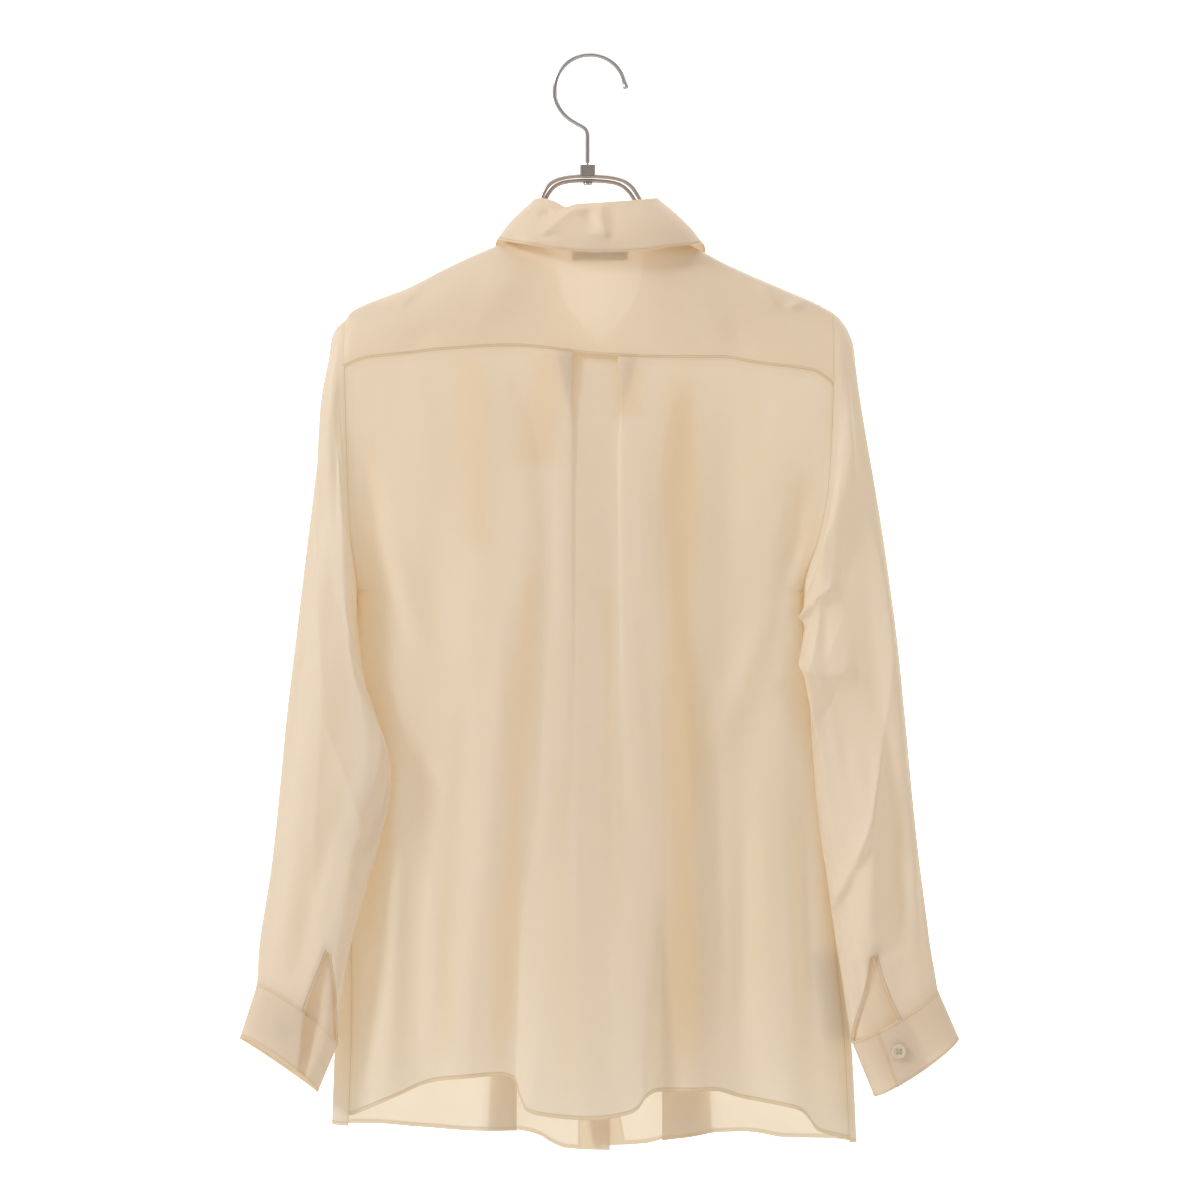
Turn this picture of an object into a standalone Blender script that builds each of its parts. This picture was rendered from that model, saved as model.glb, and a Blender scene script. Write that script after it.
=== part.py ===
"""A cream silk blouse that hangs on a wire hanger.

The sizes are in millimetres: x to the wearer's right, y to the wearer's front, and `down`
below the point where the hook bears on its rail. The blouse is one body with its hanger.
"""
import math

import bmesh
import bpy
import numpy as np
from mathutils import Vector

MM = 0.001

# ---------------------------------------------------------------- driving sizes
SEAM_GAP = 0.3            # between two sewn pieces
CLOTH = 1.2               # wall of one ply of silk
DOUBLE_CLOTH = 1.8        # yoke, stand and front bands, two plies
CUFF_CLOTH = 2.0          # cuffs, two plies and an interlining
COLLAR_CLOTH = 1.8
LABEL_CLOTH = 1.0

UNDERARM = 426.0          # down, where the side seams begin
ARMHOLE_CLOSE = 300.0     # down, where the armhole starts to narrow
RIDGE_ROUND = 50.0        # height over which the shoulder rounds from its ridge
NECK_X = 7.0              # middle of the neck
NECK_HALF = 60.0          # half the neck's width
NECK_DROP = 39.0          # back neck seam below the shoulder ridge carried to the middle
FRONT_YOKE = 18.0         # how far the yoke comes over the shoulder to the front
BAND_LAP = 3.4            # the right front band lies this far outside the left one
BUTTON_ACROSS = 11.5
BUTTON_THICK = 2.2
FRONT_BUTTON_DOWN = (252.0, 338.0, 424.0, 510.0, 596.0, 682.0, 768.0)
FRONT_BUTTON_X = 3.5


def table(columns, *rows):
    """A table as one array for each named column."""
    return {name: np.array(values, float) for name, values in zip(columns.split(), zip(*rows))}


# The top of the shoulders, carried over the open neck as a guide for the yoke's form.
SHOULDER = table("x down",
                 (-196, 211), (-191, 204), (-179, 197.6), (-162, 191), (-144, 184),
                 (-121, 172), (-95, 159.5), (-81, 153.5), (-53, 142), (-43, 136),
                 (-23, 126), (7, 109), (37, 126.5), (57, 137.5), (67, 144),
                 (88, 154.5), (109, 165.6), (138, 178.6), (167, 191), (182, 197.6), (193.6, 204))

# The sides of the body, and how far its back and front stand out from the middle.
BODY = table("down left right back front",
             (140, -196, 193.6, 27, 27), (211, -196, 193.6, 23, 23), (260, -195, 193.6, 26, 26),
             (340, -192.8, 190, 29, 29), (385, -190.5, 182, 30, 30), (426, -186, 170.4, 30, 30),
             (498, -189, 178, 31, 31), (560, -190, 185, 32, 32), (608, -191.5, 189.5, 32, 32),
             (713, -200, 200, 33, 33), (785, -204, 209, 34, 34), (880, -207.5, 214, 34, 35))

# How far each side seam lies round to the back, as an angle of the section.
SEAM_TURN = {"left": 21.0, "right": 14.0}

YOKE_SEAM = table("x down",
                  (-196, 248.6), (-176, 241.6), (-155, 239.6), (-116, 235), (-60, 232.2),
                  (-36, 234), (7, 239), (60, 241.4), (105, 241.6), (135, 246.4),
                  (178, 252), (193.6, 262.5))

BACK_HEM = table("x down",
                 (-190, 845.5), (-154, 829.5), (-123, 817.5), (-93, 813.8), (-70, 812.5),
                 (-60, 816), (-55.5, 829), (-50, 839), (-30, 843.5), (2, 845.5), (30, 841.5),
                 (38, 837.5), (45, 828), (54, 825), (98, 824.5), (121, 831), (167, 840.5),
                 (174, 847), (181, 857), (207, 865))

FRONT_HEM = {
    "left": table("x down",
                  (-207, 853.5), (-170, 855), (-139, 858), (-93, 861), (-63, 860.6), (-42, 865),
                  (-32, 871), (-21, 876), (-1, 877.5), (16, 878)),
    "right": table("x down",
                   (3, 875), (30, 873.8), (46, 872.4), (59, 868.7), (84, 864.8), (103, 862),
                   (123, 861.8), (138, 863.5), (156, 866.5), (190, 866.5), (213, 868)),
}

# Upright folds of the back: where each starts and ends, its width, and how far it swells
# outwards (positive) at the yoke and at the hem.
BACK_FOLDS = table("x_top x_hem width swell_top swell_hem",
                   (-152, -166, 15, 0, 4), (-118, -134, 17, 0, -5), (-86, -100, 15, 1, 5),
                   (86, 82, 15, 0.5, 5), (112, 124, 18, 0, -6), (146, 160, 16, 0.5, 5))

# One half of the inverted pleat, from the panel to the middle of the underlay. Each station's
# reach from the pleat's middle and its depth inwards, at five heights from yoke to hem.
PLEAT_HEIGHTS = (0.0, 0.3, 0.55, 0.8, 1.0)
PLEAT_MIDDLE = (5.0, 5.0, 5.0, 1.0, -3.0)
PLEAT = table("reach_0 reach_1 reach_2 reach_3 reach_4 in_0 in_1 in_2 in_3 in_4",
              (19, 18, 57, 61, 63, 0, 0, 0, 0, 0),
              (17, 16, 52, 56, 57.5, 1.8, 2.6, 1, -0.5, -1),
              (19, 18.5, 49, 53, 54.5, 3.6, 5.2, 3.5, -1.5, -4),
              (31, 29, 47, 50.5, 52.5, 3.6, 6, 7, -3.5, -8),
              (43, 39, 45.5, 48, 50.5, 3.6, 6.5, 10.5, -5.5, -12),
              (45, 41, 43, 45.5, 48, 5.4, 8.8, 13, -7.5, -16),
              (43, 38, 38, 40.5, 44, 7.2, 11, 14, -9, -19),
              (24, 22, 22, 23, 24, 7.2, 11.5, 14, -10, -21),
              (0, 0, 0, 0, 0, 7.2, 11.5, 13.5, -10, -22))

# The free edge and the sewn edge of each front band.
BAND = {
    "left": table("down edge seam",
                  (161, -22, -53), (180, -22, -46.5), (192, -22.5, -41), (205, -14, -33.5),
                  (222, 2, -24), (240, 12, -15.5), (260, 16, -10.5), (285, 16, -10), (880, 16, -10)),
    "right": table("down edge seam",
                   (161, 36, 67), (180, 36, 60.5), (192, 36.5, 55), (205, 28, 48),
                   (222, 13, 38.5), (240, 1, 29), (260, -7, 19.5), (285, -10, 16),
                   (780, -10, 16), (880, 3.5, 29.6)),
}
NECKLINE_FRONT = 192.0    # down, at a band's free edge

# The soft fold in each front, from its near to its far edge, measured away from x = 0.
FRONT_FOLD = {
    "left": table("v near far", (0, 80, 92), (0.08, 64, 78), (0.16, 44, 60), (0.25, 37, 51),
                  (0.55, 40, 62), (0.8, 58, 76), (1, 59, 82)),
    "right": table("v near far", (0, 93, 105), (0.08, 78, 92), (0.16, 60, 80), (0.25, 54, 75),
                   (0.5, 57, 83), (1, 58, 98)),
}
FRONT_ROWS = 11           # rows of the fronts above the underarm
LOWER_ROWS = 12           # and below it
FOLD_LAYER = 5.0          # between the layers of a front fold
FOLD_TURN = 2.4           # radius of its turns

# Sleeves: outer and inner edge against height, then the rings from armhole to cuff. A ring
# runs from a point on the outer edge to one on the inner edge and stands out near and far.
SLEEVE_OUTER = {
    "left": table("down x",
                  (211, -196.5), (216, -203), (226, -207.5), (249, -210.2), (282, -212),
                  (314, -214.4), (346, -218.2), (410, -227), (474, -235.2), (538, -243),
                  (602, -249), (666, -256), (714, -262.5), (742, -265.6)),
    "right": table("down x",
                   (204, 194), (209, 200), (217, 206), (230, 211.4), (249, 213.8), (282, 217.6),
                   (346, 227.2), (410, 236.8), (474, 245.4), (538, 252.6), (602, 258.6),
                   (666, 266.2), (714, 272.2), (745, 277.4)),
}
SLEEVE_INNER = {
    "left": table("down x",
                  (426, -187.5), (446, -190.5), (470, -189.5), (500, -182), (528, -171),
                  (553, -161), (572, -158), (590, -159), (618, -165), (674, -181),
                  (722, -193), (770, -199), (788, -200.5)),
    "right": table("down x",
                   (426, 172.5), (446, 176.5), (498, 181.5), (560, 188), (608, 192.5),
                   (660, 197.5), (713, 203), (761, 207), (785, 208)),
}
RINGS = {
    "left": table("outer inner y_outer y_inner near far",
                  (211, 426, 0, 0, 24, 24), (220, 430, -1, -2, 25, 22), (236, 437, -2, -5, 25, 20),
                  (262, 448, -4, -9, 24, 18), (300, 468, -7, -15, 22, 15), (345, 492, -9, -21, 20, 12),
                  (392, 520, -11, -26, 18, 11), (440, 552, -12, -30, 16, 11), (490, 586, -13, -32, 15, 11),
                  (540, 622, -14, -32, 15, 11), (590, 658, -15, -32, 15, 12), (640, 696, -16, -32, 16, 12),
                  (680, 732, -17, -31, 17, 13), (714, 762, -18, -30, 18, 14), (742, 788, -19, -29, 18, 14)),
    "right": table("outer inner y_outer y_inner near far",
                   (204, 426, 0, 0, 24, 24), (214, 431, 0, -1, 25, 22), (230, 439, 0, -2, 25, 20),
                   (258, 452, -1, -3, 24, 19), (296, 474, -2, -4, 22, 18), (342, 500, -3, -6, 20, 17),
                   (390, 530, -4, -7, 19, 16), (440, 562, -5, -8, 18, 16), (490, 596, -6, -9, 17, 15),
                   (540, 630, -7, -10, 17, 15), (590, 664, -8, -12, 17, 14), (640, 698, -10, -14, 17, 14),
                   (685, 732, -11, -15, 18, 14), (718, 762, -12, -16, 18, 14), (745, 785, -13, -17, 18, 14)),
}
HEAD_RINGS = 7.0          # rings over which the sleeve head leaves the armhole's form
RING_COLUMNS = 20
SLIT_APEX = {"left": 12.0, "right": 12.5}      # ring number
# The two edges of each slit, as angles round the ring, between its apex and the cuff.
SLIT = {
    "left": table("part over under", (0, 108, 108), (0.45, 102, 124), (1, 100, 112)),
    "right": table("part over under", (0, 108, 108), (0.5, 97, 134), (1, 87, 158)),
}

# Cuffs: the outer and inner point of the top and bottom ring, and where each end lies.
CUFF = {
    "left": dict(top=((-265.6, -19, 742), (-200.5, -29, 788)),
                 bottom=((-279, -21, 784), (-216.5, -30, 826)),
                 lift=9.0, lap=7.0, over=(100.0, 118.0), under=76.0),
    "right": dict(top=((277.4, -13, 745), (208, -17, 785)),
                  bottom=((294.5, -13, 784), (226, -18, 829)),
                  lift=-5.0, lap=3.6, over=(116.0, 124.0), under=84.0),
}
CUFF_NEAR = 18.0
CUFF_FAR = 14.0
CUFF_BUTTON = {"left": (86.0, 0.5), "right": (99.0, 0.47)}     # angle and part of the height

# Neck seam, from the middle of the back to the front end: reach from the neck's middle and
# height below the ridge, negative once it has passed to the front.
NECK_SEAM = table("reach below",
                  (0, 39), (22, 25.8), (42, 13.2), (55, 4.15), (60, 0), (60, -6), (60, -18),
                  (46, -40.8), (30, -65.5))
# The collar's roll and its free edge at the same stations.
ROLL = {
    "left": table("reach y down",
                  (0, -22, 123), (16, -21.5, 121.8), (33, -18, 118.6), (45.5, -10, 115.4),
                  (50.5, -1, 116), (51, 8, 119.5), (48, 17, 129), (42, 25, 143), (35, 31, 163)),
    "right": table("reach y down",
                   (0, -22, 123), (16, -21.5, 121.6), (31, -17.5, 119), (41, -10, 116),
                   (45.5, -1, 114.6), (46, 8, 118), (44, 17, 128), (40, 25, 143), (35, 31, 163)),
}
ROLL_INSIDE = 1.6         # how far the collar goes down inside its roll
COLLAR_EDGE = table("reach y down",
                    (0, -39, 156.6), (29, -38, 155), (55, -33, 151.6), (75, -22, 148.6),
                    (83, -6, 146.6), (85.5, 10, 151), (82, 29, 166), (74, 38, 188), (60, 40.5, 216))
COLLAR_RIGHT_DROP = 3.0

HOOK_RADIUS = 28.4
HOOK_WIRE = 3.6
HOOK_TIP = 9.0            # degrees above level
HOOK_END = 235.0
FRAME_WIRE = 2.6
FRAME_SPREAD = 6.0        # each wire of the arms from the middle plane
FRAME_BELOW = 8.0         # wire below the shoulder ridge

# The hanger's arch from its middle to the arms, wire by wire.
ARCH = {
    ("left", "outer"): table("x y down", (-1.6, 0.7, 95.4), (-12, 0.7, 95.5), (-22, 0.7, 96.9),
                             (-29.5, 0.8, 99.9), (-34.5, 0.9, 104.3), (-38, 1.1, 111),
                             (-40.2, 1.4, 118), (-42, 1.8, 126), (-44.8, 2.4, 136), (-49.2, 3.2, 146),
                             (-55.5, 4.3, 153), (-63, 5.4, 156.2)),
    ("left", "inner"): table("x y down", (-1.6, 0.7, 99), (-12, 0.7, 99.1), (-21.4, 0.7, 100.4),
                             (-27.8, 0.8, 103.2), (-32, 0.9, 107.6), (-35.2, 1.1, 113),
                             (-37.6, 1.4, 119.5), (-39.6, 1.8, 127), (-42.6, 2.4, 137), (-47.2, 3.2, 147),
                             (-54, 4.3, 154.4), (-62.4, 5.4, 157.2)),
    ("right", "outer"): table("x y down", (8, 0.7, 95.6), (19, 0.7, 96.8), (27.6, 0.8, 99.6),
                              (33.6, 0.9, 104.2), (38, 1.1, 110.6), (42.6, 1.5, 119), (48.6, 2.2, 130),
                              (55.6, 3.2, 141), (63.4, 4.3, 149.6), (72, 5.4, 155)),
    ("right", "inner"): table("x y down", (8, 0.7, 99.2), (18.4, 0.7, 100.4), (25.6, 0.8, 103),
                              (31, 0.9, 107.6), (35.2, 1.1, 113.6), (40, 1.5, 121.6), (46.4, 2.2, 132),
                              (53.8, 3.2, 142.6), (62.2, 4.3, 151), (71.4, 5.4, 156)),
}
# The arms beyond the arch: place along the arm and sag below the shoulder.
ARM = {
    "left": table("x sag", (-72, 0), (-96, 0), (-122, 0), (-140, 1), (-149, 9), (-156, 9.5),
                  (-164, 2), (-175, 0.5), (-184, 1)),
    "right": table("x sag", (82, 0), (106, 0), (130, 0), (144, 1), (152, 9), (159, 9.5),
                   (167, 2), (176, 0.5), (183, 1)),
}


# ---------------------------------------------------------------- small tools
def clear_scene():
    """Remove what the file starts with."""
    for thing in list(bpy.data.objects):
        bpy.data.objects.remove(thing, do_unlink=True)


def look(name, colour, roughness, metallic=0.0):
    """A plain material."""
    material = bpy.data.materials.new(name)
    material.use_nodes = True
    shader = material.node_tree.nodes["Principled BSDF"]
    shader.inputs["Base Color"].default_value = (*colour, 1.0)
    shader.inputs["Roughness"].default_value = roughness
    shader.inputs["Metallic"].default_value = metallic
    return material


def curve(x, xs, ys):
    """A smooth curve through points, with no overshoot."""
    xs, ys = np.asarray(xs, float), np.asarray(ys, float)
    step = np.diff(xs)
    slope = np.diff(ys) / step
    turn = np.zeros_like(ys)
    before, after = slope[:-1], slope[1:]
    rising = before * after > 0
    total = np.where(rising, before + after, 1.0)
    turn[1:-1] = np.where(rising, 2.0 * before * after / total, 0.0)
    turn[0], turn[-1] = slope[0], slope[-1]
    x = np.clip(np.asarray(x, float), xs[0], xs[-1])
    k = np.clip(np.searchsorted(xs, x) - 1, 0, len(step) - 1)
    t = (x - xs[k]) / step[k]
    ends = (1 + 2 * t) * (1 - t) ** 2 * ys[k] + t * t * (3 - 2 * t) * ys[k + 1]
    bends = t * (1 - t) ** 2 * turn[k] - t * t * (1 - t) * turn[k + 1]
    return ends + step[k] * bends


def ease(t):
    """Smooth step from 0 to 1."""
    t = np.clip(t, 0.0, 1.0)
    return t * t * (3 - 2 * t)


def mix(a, b, t):
    """Part way from a to b."""
    return a + (b - a) * t


def place(x, y, down):
    """Points as one array, with the last axis x, y, down."""
    return np.stack(np.broadcast_arrays(x, y, down), axis=-1).astype(float)


def in_metres(point):
    """A point in the scene's own axes."""
    return Vector((point[0] * MM, point[1] * MM, -point[2] * MM))


def directions(points, closed_rows):
    """The unit normal of a grid at each of its points."""
    across = np.gradient(points, axis=1, edge_order=2)
    along = np.gradient(points, axis=0, edge_order=2)
    if closed_rows:
        across[:closed_rows, [0, -1]] = (points[:closed_rows, 1] - points[:closed_rows, -2])[:, None] / 2
        along[:closed_rows, [0, -1]] = (along[:closed_rows, 0] + along[:closed_rows, -1])[:, None] / 2
    normal = np.cross(across, along)
    return normal / np.linalg.norm(normal, axis=-1, keepdims=True)


def finish(name, bm, material, smooth=True):
    """Turn a bmesh into a named object whose faces look outwards."""
    bmesh.ops.remove_doubles(bm, verts=bm.verts[:], dist=1e-6)
    bmesh.ops.triangulate(bm, faces=bm.faces[:])
    bmesh.ops.recalc_face_normals(bm, faces=bm.faces[:])
    if bm.calc_volume(signed=True) < 0:
        bmesh.ops.reverse_faces(bm, faces=bm.faces[:])
    mesh = bpy.data.meshes.new(name)
    bm.to_mesh(mesh)
    bm.free()
    for face in mesh.polygons:
        face.use_smooth = smooth
    mesh.materials.append(material)
    thing = bpy.data.objects.new(name, mesh)
    bpy.context.scene.collection.objects.link(thing)
    return thing


def wall(name, points, thickness, material, closed_rows=0, keep=None):
    """A closed wall on a grid of middle points.

    In the first `closed_rows` rows the last column is the first one again. `keep` says which
    cells are cloth.
    """
    rows, columns = points.shape[0] - 1, points.shape[1] - 1
    if keep is None:
        keep = np.ones((rows, columns), bool)
    half = directions(points, closed_rows) * thickness / 2
    bm = bmesh.new()
    sides = [[[bm.verts.new(in_metres(p)) for p in row] for row in skin]
             for skin in (points + half, points - half)]

    def cloth_at(row, column):
        if column in (-1, columns) and row < closed_rows - 1:
            column %= columns
        return 0 <= row < rows and 0 <= column < columns and keep[row, column]

    for row, column in np.argwhere(keep):
        corners = ((row, column), (row, column + 1), (row + 1, column + 1), (row + 1, column))
        neighbours = ((row - 1, column), (row, column + 1), (row + 1, column), (row, column - 1))
        for skin in sides:
            bm.faces.new([skin[r][c] for r, c in corners])
        for corner, neighbour in enumerate(neighbours):
            if not cloth_at(*neighbour):
                (r0, c0), (r1, c1) = corners[corner], corners[(corner + 1) % 4]
                bm.faces.new((sides[0][r0][c0], sides[0][r1][c1], sides[1][r1][c1], sides[1][r0][c0]))
    loose = [vert for vert in bm.verts if not vert.link_faces]
    bmesh.ops.delete(bm, geom=loose, context="VERTS")
    return finish(name, bm, material)


def tube(name, path, radii, material, sides=8, loop=False):
    """A round wire along a path, closed by caps or run round as a loop."""
    path = [Vector(p) for p in path]
    count = len(path)
    radii = np.broadcast_to(radii, count)
    ahead = [(path[(k + 1) % count] if loop or k < count - 1 else path[k])
             - (path[k - 1] if loop or k > 0 else path[k]) for k in range(count)]
    ahead = [a.normalized() for a in ahead]
    side = Vector((0, 1, 0)) if abs(ahead[0].y) < 0.9 else Vector((1, 0, 0))
    side = (side - ahead[0] * side.dot(ahead[0])).normalized()
    frames = [side]
    for k in range(1, count):
        turned = ahead[k - 1].rotation_difference(ahead[k]) @ frames[-1]
        frames.append((turned - ahead[k] * turned.dot(ahead[k])).normalized())
    twist = 0.0
    if loop:
        last = ahead[-1].rotation_difference(ahead[0]) @ frames[-1]
        twist = math.atan2(last.cross(frames[0]).dot(ahead[0]), last.dot(frames[0]))
    bm = bmesh.new()
    rings = []
    for k, point in enumerate(path):
        up = frames[k]
        right = ahead[k].cross(up)
        turn = twist * k / count
        angles = [turn + 2 * math.pi * s / sides for s in range(sides)]
        rings.append([bm.verts.new(in_metres(point + (up * math.cos(a) + right * math.sin(a)) * radii[k]))
                      for a in angles])
    for k in range(count if loop else count - 1):
        here, there = rings[k], rings[(k + 1) % count]
        for s in range(sides):
            bm.faces.new((here[s], here[(s + 1) % sides], there[(s + 1) % sides], there[s]))
    if not loop:
        bm.faces.new(rings[0])
        bm.faces.new(rings[-1][::-1])
    return finish(name, bm, material)


def box(name, low, high, material):
    """A block between two corners."""
    bm = bmesh.new()
    bmesh.ops.create_cube(bm, size=1.0)
    low, high = in_metres(low), in_metres(high)
    for vert in bm.verts:
        vert.co = Vector(mix(low[k], high[k], vert.co[k] + 0.5) for k in range(3))
    return finish(name, bm, material, smooth=False)


def button(name, centre, facing, material, sides=16):
    """A small dished button whose back lies at `centre` and whose face looks along `facing`."""
    radius, thick = BUTTON_ACROSS / 2, BUTTON_THICK
    profile = ((0.0, 0.0), (0.94, 0.0), (1.0, 0.7), (0.82, 1.0), (0.62, 0.7), (0.0, 0.66))
    facing = Vector(facing).normalized()
    side = facing.cross(Vector((0, 0, 1))).normalized()
    up = side.cross(facing)
    bm = bmesh.new()
    rings = []
    for reach, rise in profile:
        middle = Vector(centre) + facing * rise * thick
        if reach == 0.0:
            rings.append([bm.verts.new(in_metres(middle))])
            continue
        angles = [2 * math.pi * s / sides for s in range(sides)]
        rings.append([bm.verts.new(in_metres(middle + (side * math.cos(a) + up * math.sin(a))
                                             * reach * radius)) for a in angles])
    for here, there in zip(rings, rings[1:]):
        for s in range(sides):
            after = (s + 1) % sides
            corners = [here[s % len(here)], here[after % len(here)],
                       there[after % len(there)], there[s % len(there)]]
            bm.faces.new(list(dict.fromkeys(corners)))
    return finish(name, bm, material)


# ---------------------------------------------------------------- the body's form
def ridge(x):
    """Height of the shoulder's top."""
    return curve(x, SHOULDER["x"], SHOULDER["down"])


def edge_x(side, down):
    """The body's edge on one side."""
    return curve(down, BODY["down"], BODY[side])


def rounding(below):
    """How far the cloth has left the shoulder's ridge, from 0 to 1."""
    return np.sqrt(1 - (1 - np.clip(below / RIDGE_ROUND, 0, 1)) ** 2)


def openness(down):
    """1 where the armhole is at its deepest, 0 from the underarm down."""
    t = np.clip((down - ARMHOLE_CLOSE) / (UNDERARM - ARMHOLE_CLOSE), 0, 1)
    return (1 - t ** 2.2) ** (1 / 2.2)


def depth(x, down, face, angle):
    """How far the back or front stands out, at an angle of the section."""
    full = curve(down, BODY["down"], BODY[face]) * rounding(down - ridge(x))
    near_side = abs(np.sin(np.radians(angle))) ** 6
    open_part = mix(1 - ease((down - 270) / 270), openness(down), near_side)
    return full * mix(np.cos(np.radians(angle)), 1, open_part)


def across(angle, down):
    """x at an angle of the section: -90 at the left edge, 90 at the right."""
    part = (np.sin(np.radians(angle)) + 1) / 2
    return mix(edge_x("left", down), edge_x("right", down), part)


def angle_at(x, down):
    """The angle of the section at x."""
    left, right = edge_x("left", down), edge_x("right", down)
    return np.degrees(np.arcsin(np.clip(2 * (x - left) / (right - left) - 1, -1, 1)))


def seam_turn(side, down):
    """How far round to the back the side seam lies at this height."""
    return SEAM_TURN[side] * ease((down - UNDERARM - 40) / 330)


def lap(down):
    """How far the right front lies outside the left one."""
    return BAND_LAP * ease((down - 150) / 70)


def row_heights(top, bottom, upper, lower_rows):
    """Heights from top to bottom: the parts of the upper rows, then rows from the underarm."""
    lower = np.linspace(0, 1, lower_rows + 1)[:, None]
    return np.concatenate([mix(top, UNDERARM, upper[:, None]), mix(UNDERARM, bottom, lower)])


def front_rows():
    """The upper rows of the fronts and their bands, closer at the neck and at the underarm."""
    return (1 - np.cos(np.pi * np.arange(FRONT_ROWS) / FRONT_ROWS)) / 2


# ---------------------------------------------------------------- yoke and back
def yoke_points():
    """The yoke, from its seam on the front over the shoulders to the back seam."""
    low, high = NECK_X - NECK_HALF, NECK_X + NECK_HALF
    tip, other_tip = SHOULDER["x"][0], SHOULDER["x"][-1]
    side = np.sin(np.pi / 2 * np.arange(9) / 8)
    x = np.concatenate([mix(low, tip, side)[:0:-1], np.linspace(low, high, 11),
                        mix(high, other_tip, side)[1:]])
    reach = np.clip(1 - abs(x - NECK_X) / NECK_HALF, 0, 1)
    start = ridge(x) + NECK_DROP * reach ** 0.9
    seam = curve(x, YOKE_SEAM["x"], YOKE_SEAM["down"]) - 2 * SEAM_GAP
    front = np.array([FRONT_YOKE, FRONT_YOKE * 0.5, FRONT_YOKE * 0.16])[:, None]
    back = 1 - np.cos(np.pi / 2 * np.arange(9) / 8)[:, None]
    down = np.concatenate([ridge(x) + front, mix(start, seam, back)])
    facing = np.concatenate([np.ones(3), -np.ones(9)])[:, None]
    y = facing * curve(down, BODY["down"], BODY["back"]) * rounding(down - ridge(x))
    keep = np.ones((down.shape[0] - 1, len(x) - 1), bool)
    middle = (x[1:] + x[:-1]) / 2
    keep[:3] = abs(middle - NECK_X) > NECK_HALF
    return place(x, y, down), keep


def pleat_stations(v):
    """x and inward depth of the pleat's stations, for each height v."""
    middle = curve(v, PLEAT_HEIGHTS, PLEAT_MIDDLE)
    reach = [curve(v, PLEAT_HEIGHTS, [PLEAT[f"reach_{k}"][s] for k in range(5)]) for s in range(9)]
    inward = [curve(v, PLEAT_HEIGHTS, [PLEAT[f"in_{k}"][s] for k in range(5)]) for s in range(9)]
    reach = np.stack([-r for r in reach] + reach[-2::-1], axis=-1)
    return middle[:, None] + reach, np.stack(inward + inward[-2::-1], axis=-1)


def back_points():
    """The back panel, from the yoke seam to the curved hem."""
    lower_rows, side_columns = 12, 8
    upper = np.sin(np.pi / 2 * np.arange(7) / 7)
    v = np.concatenate([0.3 * upper, np.linspace(0.3, 1, lower_rows + 1)])
    pleat_x, inward = pleat_stations(v)
    x = np.zeros((len(v), 2 * side_columns + pleat_x.shape[1]))
    down = np.full_like(x, UNDERARM) + (v - 0.3)[:, None] * 600
    for _ in range(4):
        left_turn, right_turn = seam_turn("left", down[:, :1]), seam_turn("right", down[:, -1:])
        part = np.arange(side_columns) / side_columns
        left_end = angle_at(pleat_x[:, :1], down[:, side_columns:side_columns + 1])
        right_start = angle_at(pleat_x[:, -1:], down[:, -side_columns - 1:-side_columns])
        left_angle = mix(-89.6 + left_turn, left_end, part)
        right_angle = mix(right_start, 89.6 - right_turn, part + 1 / side_columns)
        x = np.concatenate([across(left_angle, down[:, :side_columns]), pleat_x,
                            across(right_angle, down[:, -side_columns:])], axis=1)
        top = curve(x[0], YOKE_SEAM["x"], YOKE_SEAM["down"]) + SEAM_GAP
        hem = curve(x[-1], BACK_HEM["x"], BACK_HEM["down"])
        down = row_heights(top, hem, upper, lower_rows)
    angle = angle_at(x, down)
    inward = np.pad(inward, ((0, 0), (side_columns, side_columns)))
    y = -depth(x, down, "back", angle) + inward
    for k in range(len(BACK_FOLDS["width"])):
        fold = {name: column[k] for name, column in BACK_FOLDS.items()}
        middle = mix(fold["x_top"], fold["x_hem"], v)[:, None]
        swell = mix(fold["swell_top"], fold["swell_hem"], v)[:, None]
        y -= swell * np.exp(-((x - middle) / fold["width"]) ** 2)
    return place(x, y, down)


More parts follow.
